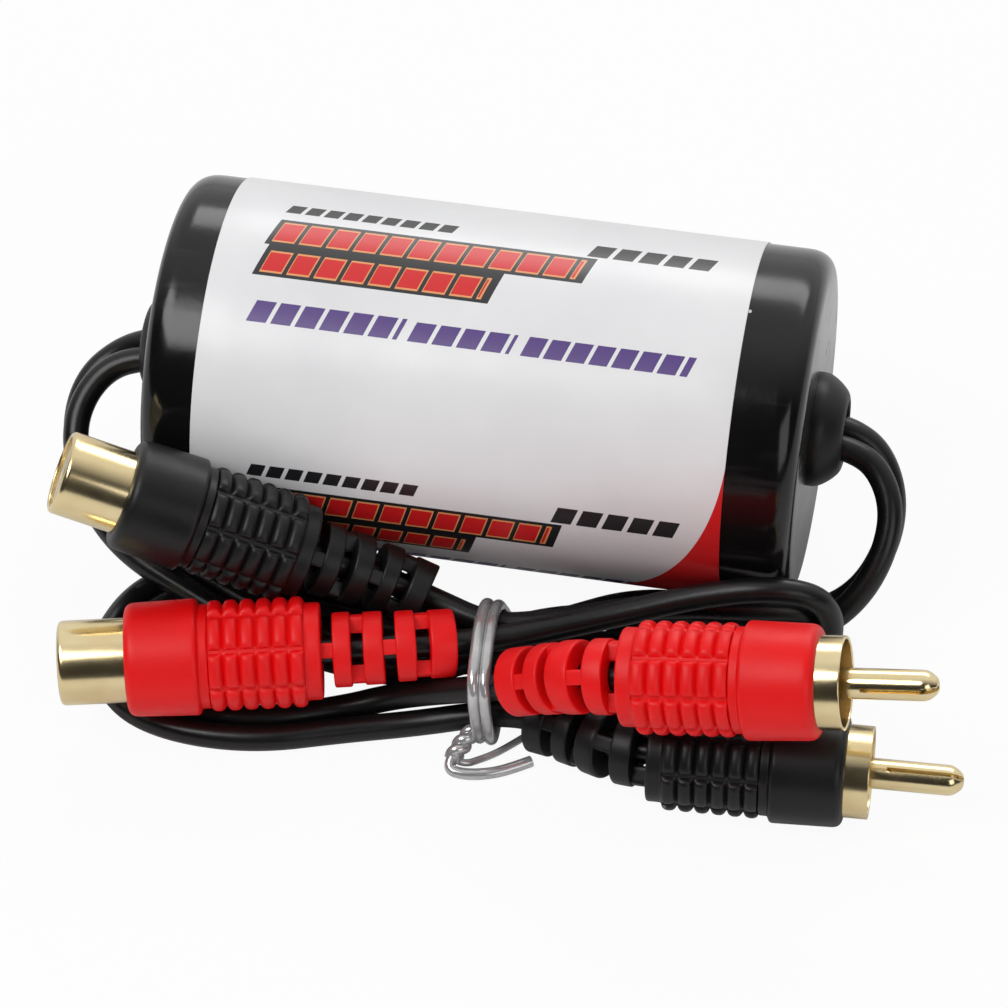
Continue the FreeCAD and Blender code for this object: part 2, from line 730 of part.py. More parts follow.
# Jack metal and plastic.
def jack(name):
    """Metal barrel, insulator and centre contact of a female jack."""
    back = "-1 * dims.socket_depth"
    inside = "dims.shoulder_gap + dims.root_step"
    front = "dims.barrel_length - dims.jack_recess"
    barrel = turned(name + "_barrel", [
        (back, "dims.root_bore"),
        (back, "dims.root_radius"),
        ("dims.shoulder_gap", "dims.root_radius"),
        ("dims.shoulder_gap", "dims.barrel_radius"),
        ("dims.barrel_length - dims.barrel_rounding", "dims.barrel_radius"),
        ("dims.barrel_length - 0.3 * dims.barrel_rounding",
         "dims.barrel_radius - 0.3 * dims.barrel_rounding"),
        ("dims.barrel_length", "dims.barrel_radius - dims.barrel_rounding"),
        ("dims.barrel_length", "dims.barrel_bore"),
        (inside, "dims.barrel_bore"),
        (inside, "dims.root_bore"),
    ])
    insulator = turned(name + "_insulator", [
        (back, "dims.socket_radius"),
        (back, "dims.root_bore"),
        (inside, "dims.root_bore"),
        (inside, "dims.barrel_bore"),
        (front, "dims.barrel_bore"),
        (front, "dims.socket_radius"),
    ])
    contact = turned(name + "_contact", [
        (front + " - dims.socket_length", "0"),
        (front + " - dims.socket_length", "dims.socket_radius"),
        (front, "dims.socket_radius"),
        (front, "dims.socket_bore"),
        (front + " - dims.socket_length + dims.socket_floor", "dims.socket_bore"),
        (front + " - dims.socket_length + dims.socket_floor", "0"),
    ])
    for item in (barrel, insulator, contact):
        item.Placement = head_placement(name)


# Plug metal and plastic.
def plug(name):
    """Metal shell, insulator and slotted centre pin of a male plug."""
    back = "-1 * dims.socket_depth"
    metal = turned(name + "_shell", [
        (back, "dims.shell_bore"),
        (back, "dims.shell_radius"),
        ("dims.shell_length", "dims.shell_radius"),
        ("dims.shell_length", "dims.shell_bore"),
    ])
    insulator = turned(name + "_insulator", [
        (back, "dims.pin_stem"),
        (back, "dims.shell_bore"),
        ("-1 * dims.plug_insulator_face", "dims.shell_bore"),
        ("-1 * dims.plug_insulator_face", "dims.pin_stem"),
    ])
    pin = turned(name + "_pin", [
        (back, "0"),
        (back, "dims.pin_stem"),
        ("dims.pin_stem_proud - dims.plug_insulator_face", "dims.pin_stem"),
        ("dims.pin_stem_proud - dims.plug_insulator_face", "dims.pin_radius"),
        ("dims.pin_tip - dims.pin_radius", "dims.pin_radius"),
        ("dims.pin_tip - 0.5 * dims.pin_radius", "0.866 * dims.pin_radius"),
        ("dims.pin_tip - 0.134 * dims.pin_radius", "0.5 * dims.pin_radius"),
        ("dims.pin_tip", "0"),
    ])
    padded(pin, name + "_slot", "XY_Plane",
           rectangle("dims.pin_tip - dims.pin_slot_length", "dims.pin_tip + %s" % SLOT_OVERRUN,
                     "-0.5 * dims.pin_slot_width", "0.5 * dims.pin_slot_width"),
           "dims.pin_radius + %s" % SLOT_OVERRUN, cut=True)
    for item in (metal, insulator, pin):
        item.Placement = head_placement(name)


for name in ("red_jack", "black_jack"):
    jack(name)
for name in ("red_plug", "black_plug"):
    plug(name)

# Twist tie.
# Conductors at the edge of the bundle under the tie, in (y, z), clockwise from the back.
BUNDLE = [(-20.38, 2.6), (-24.49, 8.48), (-28.31, 10.03), (-29.11, 10.03), (-34.4, 9.1),
          (-34.4, 8.0), (-33.9, 3.46), (-33.35, 2.6)]
TAIL_THICK = [
    (4.2, -34.1, 1.25), (3.3, -35.9, 1.5), (2.7, -37.9, 0.95), (3.5, -39.3, 0.72),
    (6.0, -39.3, 0.7), (8.5, -38.3, 0.7), (10.9, -36.3, 0.7),
]
TAIL_THIN = [
    (4.4, -34.5, 2.2), (3.0, -36.0, 2.2), (3.0, -37.9, 1.9), (5.0, -37.9, 0.9),
    (7.4, -35.6, 0.6), (9.6, -33.0, 0.55),
]


def belt_edges(x, centres, distance):
    """Closed chain of straight runs and arcs at a distance round a set of centres."""
    points = [Vector(x, y, z) for y, z in centres]
    count = len(points)
    axis = Vector(1, 0, 0)
    normals = []
    for index in range(count):
        run = (points[(index + 1) % count] - points[index]).normalize()
        normals.append(run.cross(axis).negative())
    middle = sum(points, Vector()) * (1.0 / count)
    if normals[0].dot(points[0] - middle) < 0:
        normals = [normal.negative() for normal in normals]
    edges = []
    for index in range(count):
        start = points[index] + normals[index] * distance
        end = points[(index + 1) % count] + normals[index] * distance
        edges.append(Part.LineSegment(start, end).toShape())
        corner = points[(index + 1) % count]
        bisector = (normals[index] + normals[(index + 1) % count]).normalize()
        last = corner + normals[(index + 1) % count] * distance
        edges.append(Part.Arc(end, corner + bisector * distance, last).toShape())
    return edges


def twist_tie():
    reach = (dim("cord_diameter") + dim("wire_diameter")) / 2.0 + dim("wire_gap")
    solids = []
    for turn in range(2):
        edges = belt_edges(dim("wire_first") + turn * dim("wire_pitch"), BUNDLE, reach)
        solids.append(tube(edges, dim("wire_diameter")))
    thick, radii = rounded_run(TAIL_THICK)
    solids.append(tube(thick, dim("wire_tail")))
    thin, thin_radii = rounded_run(TAIL_THIN)
    solids.append(tube(thin, dim("wire_thin")))
    print("twist tie radii", [round(radius, 1) for radius in radii + thin_radii])
    return solid_feature("twist_tie", solids[0].fuse(solids[1:]))


twist_tie()
doc.recompute()

# Checks and export.
NODES = ["left_shell", "right_shell", "label", "left_grommet", "right_grommet", "circuit_board"]
for prefix in ("left_transformer", "right_transformer"):
    NODES += [prefix + "_" + kind for kind in ("core", "bobbin", "primary", "secondary", "clamp")]
NODES += ["left_lead_tie", "right_lead_tie"] + list(ROUTES)
JACK_KINDS = ("boot", "barrel", "insulator", "contact")
PLUG_KINDS = ("boot", "shell", "insulator", "pin")
for name in HEADS:
    kinds = JACK_KINDS if name.endswith("jack") else PLUG_KINDS
    NODES += [name + "_" + kind for kind in kinds]
NODES.append("twist_tie")

for item in doc.Objects:
    if "Invalid" in item.State or "Error" in item.State:
        raise RuntimeError("object %s has state %s" % (item.Label, item.State))

for node in NODES:
    item = doc.getObjectsByLabel(node)[0]
    shape = item.Shape
    if shape.isNull() or not shape.isValid():
        raise RuntimeError("shape of %s is not valid" % node)
    if len(shape.Solids) != 1:
        print("WARNING", node, "has", len(shape.Solids), "solids")
    box = shape.BoundBox
    print("%-28s solids %d volume %9.2f x %.2f %.2f y %.2f %.2f z %.2f %.2f" % (
        node, len(shape.Solids), shape.Volume, box.XMin, box.XMax, box.YMin, box.YMax, box.ZMin, box.ZMax))
    shape.exportStep("parts/%s.step" % node)
print(len(NODES), "nodes")
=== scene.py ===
"""Looks of a ground loop isolator: housing, wrapped label, tied leads, phono jacks and plugs."""
from __future__ import annotations

import json
import logging
import math
from dataclasses import dataclass
from enum import Enum
from typing import Callable, Iterable, Sequence

import bmesh
import bpy
from mathutils import Matrix, Vector

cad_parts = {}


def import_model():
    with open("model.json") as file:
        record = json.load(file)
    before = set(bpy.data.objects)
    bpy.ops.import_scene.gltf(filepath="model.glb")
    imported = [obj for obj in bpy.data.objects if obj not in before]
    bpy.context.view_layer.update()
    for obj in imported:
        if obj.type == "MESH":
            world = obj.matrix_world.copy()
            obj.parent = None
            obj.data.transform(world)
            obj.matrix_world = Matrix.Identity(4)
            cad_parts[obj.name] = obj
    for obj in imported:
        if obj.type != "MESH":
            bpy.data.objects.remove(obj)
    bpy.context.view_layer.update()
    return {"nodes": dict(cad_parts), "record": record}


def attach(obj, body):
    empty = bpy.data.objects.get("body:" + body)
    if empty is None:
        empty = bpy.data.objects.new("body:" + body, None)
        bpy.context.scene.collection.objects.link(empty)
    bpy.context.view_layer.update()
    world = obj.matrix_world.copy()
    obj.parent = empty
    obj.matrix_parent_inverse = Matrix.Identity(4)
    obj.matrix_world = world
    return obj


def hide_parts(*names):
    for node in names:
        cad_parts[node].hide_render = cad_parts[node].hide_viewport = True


LOG = logging.getLogger("ground_loop_isolator")
ROOT = "root"
Colour = tuple[float, float, float]
Profile = list[tuple[float, float]]

HOUSING_AXIS_HEIGHT = 0.01915
CORD_DIAMETER = 0.0028
TUBE_SEGMENTS = 5
SAME_PLACE = 1e-7

# Route of each lead in metres, from the circuit board to the connector.
ROUTES: dict[str, tuple[tuple[float, float, float], ...]] = {
    "black_jack_lead": (
        (-0.0212, 0.0044, 0.01515), (-0.0246, 0.0033, 0.0157), (-0.0276, 0.0016, 0.0178),
        (-0.0315, 0.00145, 0.01825), (-0.0356, 0.0015, 0.0183), (-0.0384, 0.00145, 0.0181),
        (-0.0418, 0.0016, 0.016), (-0.0448, -0.0006, 0.0138), (-0.0457, -0.0044, 0.0113),
        (-0.0446, -0.0086, 0.0082), (-0.0414, -0.013, 0.0058), (-0.0362, -0.0166, 0.0046),
        (-0.0286, -0.0194, 0.0047), (-0.0205, -0.0223, 0.0028), (-0.012, -0.0234, 0.0014),
        (-0.003, -0.0252, 0.0014), (0.0044, -0.0249, 0.00295), (0.0105, -0.0214, 0.0017),
        (0.0175, -0.01775, 0.0014), (0.025, -0.0169, 0.0014), (0.031, -0.0167, 0.0014),
        (0.036, -0.0163, 0.0022), (0.0382, -0.0158, 0.0054), (0.0368, -0.0169, 0.009),
        (0.031, -0.0186, 0.0096), (0.0235, -0.0195, 0.0096), (0.0165, -0.0213, 0.009),
        (0.0102, -0.0235, 0.0084), (0.0044, -0.0249, 0.0082), (-0.0024, -0.0232, 0.0094),
        (-0.0081, -0.0231, 0.0118), (-0.0133, -0.02427, 0.01419), (-0.01938, -0.02489, 0.01659),
    ),
    "red_jack_lead": (
        (-0.0212, -0.0044, 0.01515), (-0.0246, -0.0033, 0.0157), (-0.0276, -0.0016, 0.0178),
        (-0.0315, -0.00145, 0.01825), (-0.0356, -0.0015, 0.0183), (-0.0384, -0.00145, 0.0181),
        (-0.0418, -0.0024, 0.0172), (-0.0441, -0.0048, 0.0152), (-0.0448, -0.0082, 0.0128),
        (-0.0434, -0.0122, 0.01), (-0.0402, -0.0164, 0.0077), (-0.0356, -0.02, 0.0062),
        (-0.0288, -0.0227, 0.0049), (-0.021, -0.0252, 0.0024), (-0.012, -0.0268, 0.0014),
        (-0.0034, -0.0285, 0.0027), (0.0044, -0.0264, 0.0055), (0.0105, -0.0227, 0.0053),
        (0.0175, -0.02035, 0.0028), (0.025, -0.0199, 0.0014), (0.0325, -0.0196, 0.0014),
        (0.0379, -0.019, 0.0028), (0.0402, -0.0184, 0.0074), (0.0389, -0.0189, 0.0129),
        (0.034, -0.0202, 0.0149), (0.0265, -0.0209, 0.0132), (0.018, -0.0235, 0.0113),
        (0.0108, -0.0262, 0.0103), (0.0044, -0.0287, 0.0099), (-0.0016, -0.0308, 0.01035),
        (-0.0076, -0.03225, 0.01005), (-0.01396, -0.03367, 0.00983),
    ),
    "red_plug_lead": (
        (0.0212, -0.0044, 0.01515), (0.0246, -0.0033, 0.0157), (0.0276, -0.0016, 0.0178),
        (0.0315, -0.00145, 0.01825), (0.0356, -0.0015, 0.01835), (0.0386, -0.00145, 0.01835),
        (0.042, -0.0022, 0.0171), (0.0443, -0.0053, 0.0143), (0.0441, -0.0087, 0.0107),
        (0.0421, -0.0116, 0.0066), (0.0384, -0.0131, 0.0027), (0.0325, -0.0137, 0.0014),
        (0.025, -0.014, 0.0014), (0.0175, -0.0149, 0.0019), (0.0108, -0.0189, 0.0048),
        (0.0044, -0.0232, 0.00555), (-0.003, -0.0221, 0.0027), (-0.012, -0.0204, 0.0014),
        (-0.0215, -0.0188, 0.0014), (-0.028, -0.0191, 0.0014), (-0.0322, -0.0216, 0.0014),
        (-0.034, -0.026, 0.0014), (-0.0337, -0.0312, 0.0014), (-0.0308, -0.035, 0.0014),
        (-0.0256, -0.0367, 0.0014), (-0.018, -0.0364, 0.0014), (-0.0098, -0.0331, 0.0014),
        (-0.0053, -0.0319, 0.0027), (-0.0005, -0.0327, 0.0053), (0.0044, -0.0341, 0.0081),
        (0.008, -0.0349, 0.0106), (0.0122, -0.0359, 0.0131), (0.01753, -0.03792, 0.01671),
        (0.02297, -0.0379, 0.01752),
    ),
    "black_plug_lead": (
        (0.0212, 0.0044, 0.01515), (0.0246, 0.0033, 0.0157), (0.0276, 0.0016, 0.0178),
        (0.0315, 0.00145, 0.01825), (0.0356, 0.0015, 0.01835), (0.0386, 0.00145, 0.01835),
        (0.042, 0.0009, 0.0163), (0.0442, -0.0017, 0.0126), (0.0442, -0.005, 0.0087),
        (0.042, -0.0086, 0.0048), (0.0378, -0.0103, 0.0019), (0.032, -0.0107, 0.0014),
        (0.025, -0.011, 0.0014), (0.0175, -0.0118, 0.0014), (0.0108, -0.0161, 0.0015),
        (0.0044, -0.0217, 0.00295), (-0.003, -0.0188, 0.0016), (-0.012, -0.0174, 0.0014),
        (-0.0215, -0.0158, 0.0014), (-0.029, -0.0161, 0.0014), (-0.0344, -0.019, 0.0014),
        (-0.0371, -0.0252, 0.0014), (-0.0368, -0.0318, 0.0014), (-0.0332, -0.0372, 0.0014),
        (-0.0268, -0.0396, 0.0014), (-0.018, -0.0394, 0.0014), (-0.0092, -0.0362, 0.0014),
        (-0.002, -0.034, 0.0015), (0.0044, -0.03295, 0.003), (0.0076, -0.0326, 0.0035),
        (0.0112, -0.0332, 0.0041), (0.0165, -0.0352, 0.0049), (0.021, -0.03757, 0.00592),
        (0.02587, -0.03737, 0.006),
    ),
}

# Lead sections at the edge of the tied bundle, (y, z) in metres.
BUNDLE_EDGE: tuple[tuple[float, float], ...] = (
    (-0.02038, 0.0026), (-0.02449, 0.00848), (-0.02831, 0.01003), (-0.02911, 0.01003),
    (-0.0344, 0.0091), (-0.0344, 0.008), (-0.0339, 0.00346), (-0.03335, 0.0026),
)


class Bridge(Enum):
    """Where the two bars over a gap of the strain relief stand."""

    FACING = "facing"
    UPRIGHT = "upright"


class Connector(Enum):
    """Kind of phono connector in a boot."""

    JACK = "jack"
    PLUG = "plug"


# Shader node tools.
class NodeBench:
    """Short calls that add and join nodes in one node tree."""

    def __init__(self, tree: bpy.types.NodeTree) -> None:
        """Keep the tree to work on."""
        self.tree = tree

    def add(self, kind: str, **settings: object) -> bpy.types.Node:
        """Add one node.

        Args:
            kind: The node's type name.
            settings: Values of the node's own properties.

        Returns:
            The new node.
        """
        node = self.tree.nodes.new(kind)
        for name, value in settings.items():
            setattr(node, name, value)
        return node

    def join(self, source: bpy.types.NodeSocket, target: bpy.types.NodeSocket) -> None:
        """Link an output to an input."""
        self.tree.links.new(source, target)

    def feed(self, socket: bpy.types.NodeSocket, value: object) -> None:
        """Link a socket's source, or set its constant value."""
        if isinstance(value, bpy.types.NodeSocket):
            self.join(value, socket)
        elif value is not None:
            socket.default_value = value

    def place(self) -> bpy.types.NodeSocket:
        """Object coordinates of the surface."""
        return self.add("ShaderNodeTexCoord").outputs["Object"]

    def noise(self, place: bpy.types.NodeSocket, scale: object, detail: float,
              roughness: float = 0.5) -> bpy.types.NodeSocket:
        """Noise texture at a place.

        Args:
            place: The place's socket.
            scale: Number or socket of its scale.
            detail: Its octaves.
            roughness: Share of the fine octaves.

        Returns:
            The socket of its value.
        """
        node = self.add("ShaderNodeTexNoise", noise_dimensions="3D")
        given = {"Vector": place, "Scale": scale, "Detail": detail, "Roughness": roughness}
        for label, value in given.items():
            self.feed(node.inputs[label], value)
        return node.outputs[0]

    def calc(self, operation: str, first: object, second: object = None, third: object = None,
             clamp: bool = False) -> bpy.types.NodeSocket:
        """Do one sum on numbers or sockets.

        Args:
            operation: The Math node's operation.
            first: First number or socket.
            second: Second number or socket.
            third: Third number or socket.
            clamp: Keep the result from 0 to 1.

        Returns:
            The result's socket.
        """
        node = self.add("ShaderNodeMath", operation=operation, use_clamp=clamp)
        for socket, value in zip(node.inputs, (first, second, third)):
            self.feed(socket, value)
        return node.outputs[0]

    def blend(self, factor: object, first: object, second: object) -> bpy.types.NodeSocket:
        """Mix two colours.

        Args:
            factor: Share of the second colour.
            first: Colour or socket at factor 0.
            second: Colour or socket at factor 1.

        Returns:
            The mixed colour's socket.
        """
        node = self.add("ShaderNodeMix", data_type="RGBA")
        self.feed(node.inputs["Factor"], factor)
        for socket, value in ((node.inputs[6], first), (node.inputs[7], second)):
            self.feed(socket, (*value, 1.0) if isinstance(value, tuple) and len(value) == 3 else value)
        return node.outputs[2]

    def scaled(self, socket: bpy.types.NodeSocket, low: float, high: float) -> bpy.types.NodeSocket:
        """Stretch a 0 to 1 value to a range."""
        return self.calc("MULTIPLY_ADD", socket, high - low, low)


GroupParts = tuple[NodeBench, bpy.types.Node, bpy.types.Node]


def new_group(name: str, inputs: dict[str, float], outputs: Sequence[str]) -> GroupParts:
    """Start a shader node group.

    Args:
        name: Name of the group.
        inputs: Input names with their default numbers.
        outputs: Names of the number outputs.

    Returns:
        The bench, the group's input node and its output node.
    """
    tree = bpy.data.node_groups.new(name, "ShaderNodeTree")
    for label, value in inputs.items():
        socket = tree.interface.new_socket(name=label, in_out="INPUT", socket_type="NodeSocketFloat")
        socket.default_value = value
    for label in outputs:
        tree.interface.new_socket(name=label, in_out="OUTPUT", socket_type="NodeSocketFloat")
    bench = NodeBench(tree)
    return bench, bench.add("NodeGroupInput"), bench.add("NodeGroupOutput")


class Effects:
    """Shader node groups that several finishes share."""

    def __init__(self) -> None:
        """Build every group once."""
        self.grain = self._grain()
        self.specks = self._specks()
        self.rubs = self._rubs()
        self.bar = self._bar()

    @staticmethod
    def _grain() -> bpy.types.NodeTree:
        """Fine surface grain with slow clouding.

        Returns:
            Group with Height and Cloud outputs.
        """
        scales = {"Grain Scale": 900.0, "Cloud Scale": 60.0}
        bench, given, out = new_group("surface_grain", scales, ("Height", "Cloud"))
        place = bench.place()
        bench.join(bench.noise(place, given.outputs["Grain Scale"], 3.0), out.inputs["Height"])
        slow = bench.noise(place, given.outputs["Cloud Scale"], 4.0, 0.55)
        bench.join(bench.calc("MULTIPLY_ADD", slow, 2.4, -0.7, clamp=True), out.inputs["Cloud"])
        return bench.tree

    @staticmethod
    def _specks() -> bpy.types.NodeTree:
        """Scattered dust specks.

        Returns:
            Group with a Mask output.
        """
        bench, given, out = new_group("dust_specks", {"Scale": 700.0, "Amount": 0.02}, ("Mask",))
        cells = bench.add("ShaderNodeTexVoronoi", feature="F1")
        bench.join(bench.place(), cells.inputs["Vector"])
        bench.join(given.outputs["Scale"], cells.inputs["Scale"])
        pick = bench.add("ShaderNodeSeparateColor")
        bench.join(cells.outputs["Color"], pick.inputs["Color"])
        chosen = bench.calc("LESS_THAN", pick.outputs[0], given.outputs["Amount"])
        close = bench.calc("LESS_THAN", cells.outputs["Distance"], 0.22)
        bench.join(bench.calc("MULTIPLY", chosen, close), out.inputs["Mask"])
        return bench.tree

    @staticmethod
    def _rubs() -> bpy.types.NodeTree:
        """Long faint rub marks along one direction.

        Returns:
            Group with a Mask output.
        """
        values = {"Across": 500.0, "Along": 40.0, "Amount": 0.4}
        bench, given, out = new_group("rub_marks", values, ("Mask",))
        stretch = bench.add("ShaderNodeCombineXYZ")
        for axis, label in zip("XYZ", ("Along", "Across", "Across")):
            bench.join(given.outputs[label], stretch.inputs[axis])
        drawn = bench.add("ShaderNodeVectorMath", operation="MULTIPLY")
        bench.join(bench.place(), drawn.inputs[0])
        bench.join(stretch.outputs[0], drawn.inputs[1])
        lines = bench.noise(drawn.outputs[0], 1.0, 2.0)
        level = bench.calc("SUBTRACT", 0.75, bench.calc("MULTIPLY", given.outputs["Amount"], 0.3))
        over = bench.calc("SUBTRACT", lines, level)
        bench.join(bench.calc("MULTIPLY", over, 8.0, clamp=True), out.inputs["Mask"])
        return bench.tree

    @staticmethod
    def _bar() -> bpy.types.NodeTree:
        """One slanted printed bar, cut into even strokes.

        Returns:
            Group with a Mask output.
        """
        names = {"Along": 0.0, "Round": 0.0, "Left": 0.0, "Right": 1.0, "Top": 0.0, "Bottom": 1.0,
                 "Slant": 0.1, "Stroke": 2.0, "Filled": 1.0}
        bench, given, out = new_group("printed_bar", names, ("Mask",))
        values = given.outputs
        below = bench.calc("SUBTRACT", values["Round"], values["Bottom"])
        lean = bench.calc("MULTIPLY", below, values["Slant"])
        along = bench.calc("ADD", values["Along"], lean)
        mask = bench.calc("GREATER_THAN", along, values["Left"])
        for operation, socket, limit in (
            ("LESS_THAN", along, values["Right"]),
            ("GREATER_THAN", values["Round"], values["Top"]),
            ("LESS_THAN", values["Round"], values["Bottom"]),
        ):
            mask = bench.calc("MULTIPLY", mask, bench.calc(operation, socket, limit))
        steps = bench.calc("DIVIDE", bench.calc("SUBTRACT", along, values["Left"]), values["Stroke"])
        stroke = bench.calc("LESS_THAN", bench.calc("FRACT", steps), values["Filled"])
        bench.join(bench.calc("MULTIPLY", mask, stroke), out.inputs["Mask"])
        return bench.tree


def place_group(bench: NodeBench, group: bpy.types.NodeTree, **values: object) -> bpy.types.Node:
    """Put a group into a material.

    Args:
        bench: The material's bench.
        group: The group's tree.
        values: Input values, with underscores for the spaces of the names.

    Returns:
        The group node.
    """
    node = bench.add("ShaderNodeGroup", node_tree=group)
    for name, value in values.items():
        bench.feed(node.inputs[name.replace("_", " ")], value)
    return node


def new_material(name: str) -> tuple[bpy.types.Material, NodeBench, bpy.types.Node]:
    """Start a material with a Principled shader.

    Args:
        name: Name of the material.

    Returns:
        The material, its bench and its shader node.
    """
    material = bpy.data.materials.new(name)
    material.use_nodes = True
    bench = NodeBench(material.node_tree)
    return material, bench, material.node_tree.nodes["Principled BSDF"]


def grained(bench: NodeBench, shader: bpy.types.Node, grain: bpy.types.Node, height: float,
            strength: float, **values: object) -> None:
    """Raise a finish's grain and set its shader's own values.

    Args:
        bench: The material's bench.
        shader: Its shader node.
        grain: Its grain group node.
        height: Height of the grain, in metres.
        strength: Strength of the bump.
        values: Shader input values, with underscores for the spaces of the names.
    """
    bump = bench.add("ShaderNodeBump")
    bump.inputs["Distance"].default_value = height
    bump.inputs["Strength"].default_value = strength
    bench.join(grain.outputs["Height"], bump.inputs["Height"])
    bench.join(bump.outputs["Normal"], shader.inputs["Normal"])
    for name, value in values.items():
        bench.feed(shader.inputs[name.replace("_", " ")], value)


# Finishes.
@dataclass(frozen=True)
class MouldedFinish:
    """Plastic, rubber or coated finish with grain, clouding, rubs and dust."""

    name: str
    colour: Colour
    clouded: Colour
    roughness: tuple[float, float]
    grain_scale: float = 900.0
    grain_height: float = 0.00003
    cloud_scale: float = 60.0
    speck_amount: float = 0.0
    speck_scale: float = 700.0
    speck_colour: Colour = (0.55, 0.54, 0.52)
    rub_amount: float = 0.0
    rub_colour: Colour = (0.3, 0.3, 0.3)
    metallic: float = 0.0
    coat: float = 0.0
    coat_roughness: float = 0.1
    specular: float = 0.5
    soft_light: float = 0.0
    soft_reach: Colour = (0.001, 0.0003, 0.0002)

    def build(self, effects: Effects) -> bpy.types.Material:
        """Make the material.

        Args:
            effects: The shared node groups.

        Returns:
            The finished material.
        """
        material, bench, shader = new_material(self.name)
        grain = place_group(bench, effects.grain, Grain_Scale=self.grain_scale, Cloud_Scale=self.cloud_scale)
        colour = bench.blend(grain.outputs["Cloud"], self.colour, self.clouded)
        rough = bench.scaled(grain.outputs["Cloud"], *self.roughness)
        if self.rub_amount:
            rubs = place_group(bench, effects.rubs, Amount=self.rub_amount)
            share = bench.calc("MULTIPLY", rubs.outputs["Mask"], 0.25)
            colour = bench.blend(share, colour, self.rub_colour)
            rough = bench.calc("MULTIPLY_ADD", rubs.outputs["Mask"], 0.12, rough)
        if self.speck_amount:
            specks = place_group(bench, effects.specks, Scale=self.speck_scale, Amount=self.speck_amount)
            colour = bench.blend(specks.outputs["Mask"], colour, self.speck_colour)
            rough = bench.calc("MULTIPLY_ADD", specks.outputs["Mask"], 0.3, rough)
        soft = {"Subsurface_Weight": self.soft_light, "Subsurface_Scale": 1.0,
                "Subsurface_Radius": self.soft_reach}
        grained(bench, shader, grain, self.grain_height, 0.6, Base_Color=colour, Roughness=rough,
                Metallic=self.metallic, Coat_Weight=self.coat, Coat_Roughness=self.coat_roughness,
                Specular_IOR_Level=self.specular, **(soft if self.soft_light else {}))
        return material


@dataclass(frozen=True)
class PrintedBar:
    """One row of slanted strokes on the label, in millimetres along and degrees round."""

    left: float
    right: float
    top: float
    bottom: float
    ink: Colour
    slant: float = 0.12
    stroke: float = 1.7
    filled: float = 0.8


@dataclass(frozen=True)
class LabelFinish:
    """White wrapped vinyl with rows of plain strokes and one curved red corner."""

    name: str = "label_print"
    vinyl: Colour = (0.80, 0.80, 0.81)
    shade: Colour = (0.70, 0.70, 0.715)
    red: Colour = (0.62, 0.012, 0.014)
    black: Colour = (0.012, 0.012, 0.014)
    amber: Colour = (0.75, 0.32, 0.12)
    violet: Colour = (0.075, 0.03, 0.20)
    roughness: tuple[float, float] = (0.34, 0.46)
    grain_height: float = 0.00002
    repeat: float = 95.0
    first: float = -20.0
    corner_right: float = 27.75
    corner_start: float = 55.0
    corner_end: float = 140.0
    corner_bend: float = 0.002

    def rows(self) -> list[PrintedBar]:
        """Rows of one repeat, from the back of the ink to the front."""
        return [
            PrintedBar(-22.95, -4.7, -12.8, -8.2, self.black, 0.12, 2.05, 0.78),
            PrintedBar(9.7, 23.1, -11.5, -5.0, self.black, 0.12, 2.7, 0.8),
            PrintedBar(-24.1, 9.9, -4.2, 7.6, self.black, 0.09, 60.0, 1.0),
            PrintedBar(-24.6, 0.6, 7.6, 19.6, self.black, 0.09, 60.0, 1.0),
            PrintedBar(-23.4, 9.1, -2.9, 6.3, self.amber, 0.09, 2.9, 0.84),
            PrintedBar(-23.9, -0.2, 10.0, 18.4, self.amber, 0.09, 2.9, 0.84),
            PrintedBar(-23.25, 8.95, -2.2, 5.6, self.red, 0.09, 2.9, 0.76),
            PrintedBar(-23.75, -0.35, 10.7, 17.7, self.red, 0.09, 2.9, 0.76),
            PrintedBar(-24.3, -8.2, 28.2, 35.3, self.violet, 0.12, 2.6, 0.82),
            PrintedBar(-7.1, 3.7, 28.8, 35.3, self.violet, 0.12, 2.6, 0.82),
            PrintedBar(4.9, 22.5, 28.8, 35.3, self.violet, 0.12, 2.4, 0.82),
        ]

    def build(self, effects: Effects) -> bpy.types.Material:
        """Make the material.

        Args:
            effects: The shared node groups.

        Returns:
            The finished material.
        """
        material, bench, shader = new_material(self.name)
        split = bench.add("ShaderNodeSeparateXYZ")
        bench.join(bench.place(), split.inputs[0])
        along = bench.calc("MULTIPLY", split.outputs["X"], 1000.0)
        rise = bench.calc("SUBTRACT", split.outputs["Z"], HOUSING_AXIS_HEIGHT)
        front = bench.calc("MULTIPLY", split.outputs["Y"], -1.0)
        turn = bench.calc("DEGREES", bench.calc("ARCTAN2", front, rise))
        wrapped = bench.calc("FLOORED_MODULO", bench.calc("SUBTRACT", turn, self.first), self.repeat)
        placed = bench.calc("ADD", wrapped, self.first)
        grain = place_group(bench, effects.grain, Grain_Scale=420.0, Cloud_Scale=45.0)
        colour = bench.blend(grain.outputs["Cloud"], self.vinyl, self.shade)
        for row in self.rows():
            bar = place_group(bench, effects.bar, Along=along, Round=placed, Left=row.left, Right=row.right,
                              Top=row.top, Bottom=row.bottom, Slant=row.slant, Stroke=row.stroke,
                              Filled=row.filled)
            colour = bench.blend(bar.outputs["Mask"], colour, row.ink)
        past = bench.calc("MAXIMUM", bench.calc("SUBTRACT", turn, self.corner_start), 0.0)
        reach = bench.calc("MULTIPLY", bench.calc("POWER", past, 2.0), self.corner_bend)
        edge = bench.calc("GREATER_THAN", along, bench.calc("SUBTRACT", self.corner_right, reach))
        ended = bench.calc("LESS_THAN", turn, self.corner_end)
        colour = bench.blend(bench.calc("MULTIPLY", edge, ended), colour, self.red)
        rough = bench.scaled(grain.outputs["Cloud"], *self.roughness)
        grained(bench, shader, grain, self.grain_height, 0.5, Base_Color=colour, Roughness=rough,
                Coat_Weight=0.25, Coat_Roughness=0.22)
        return material


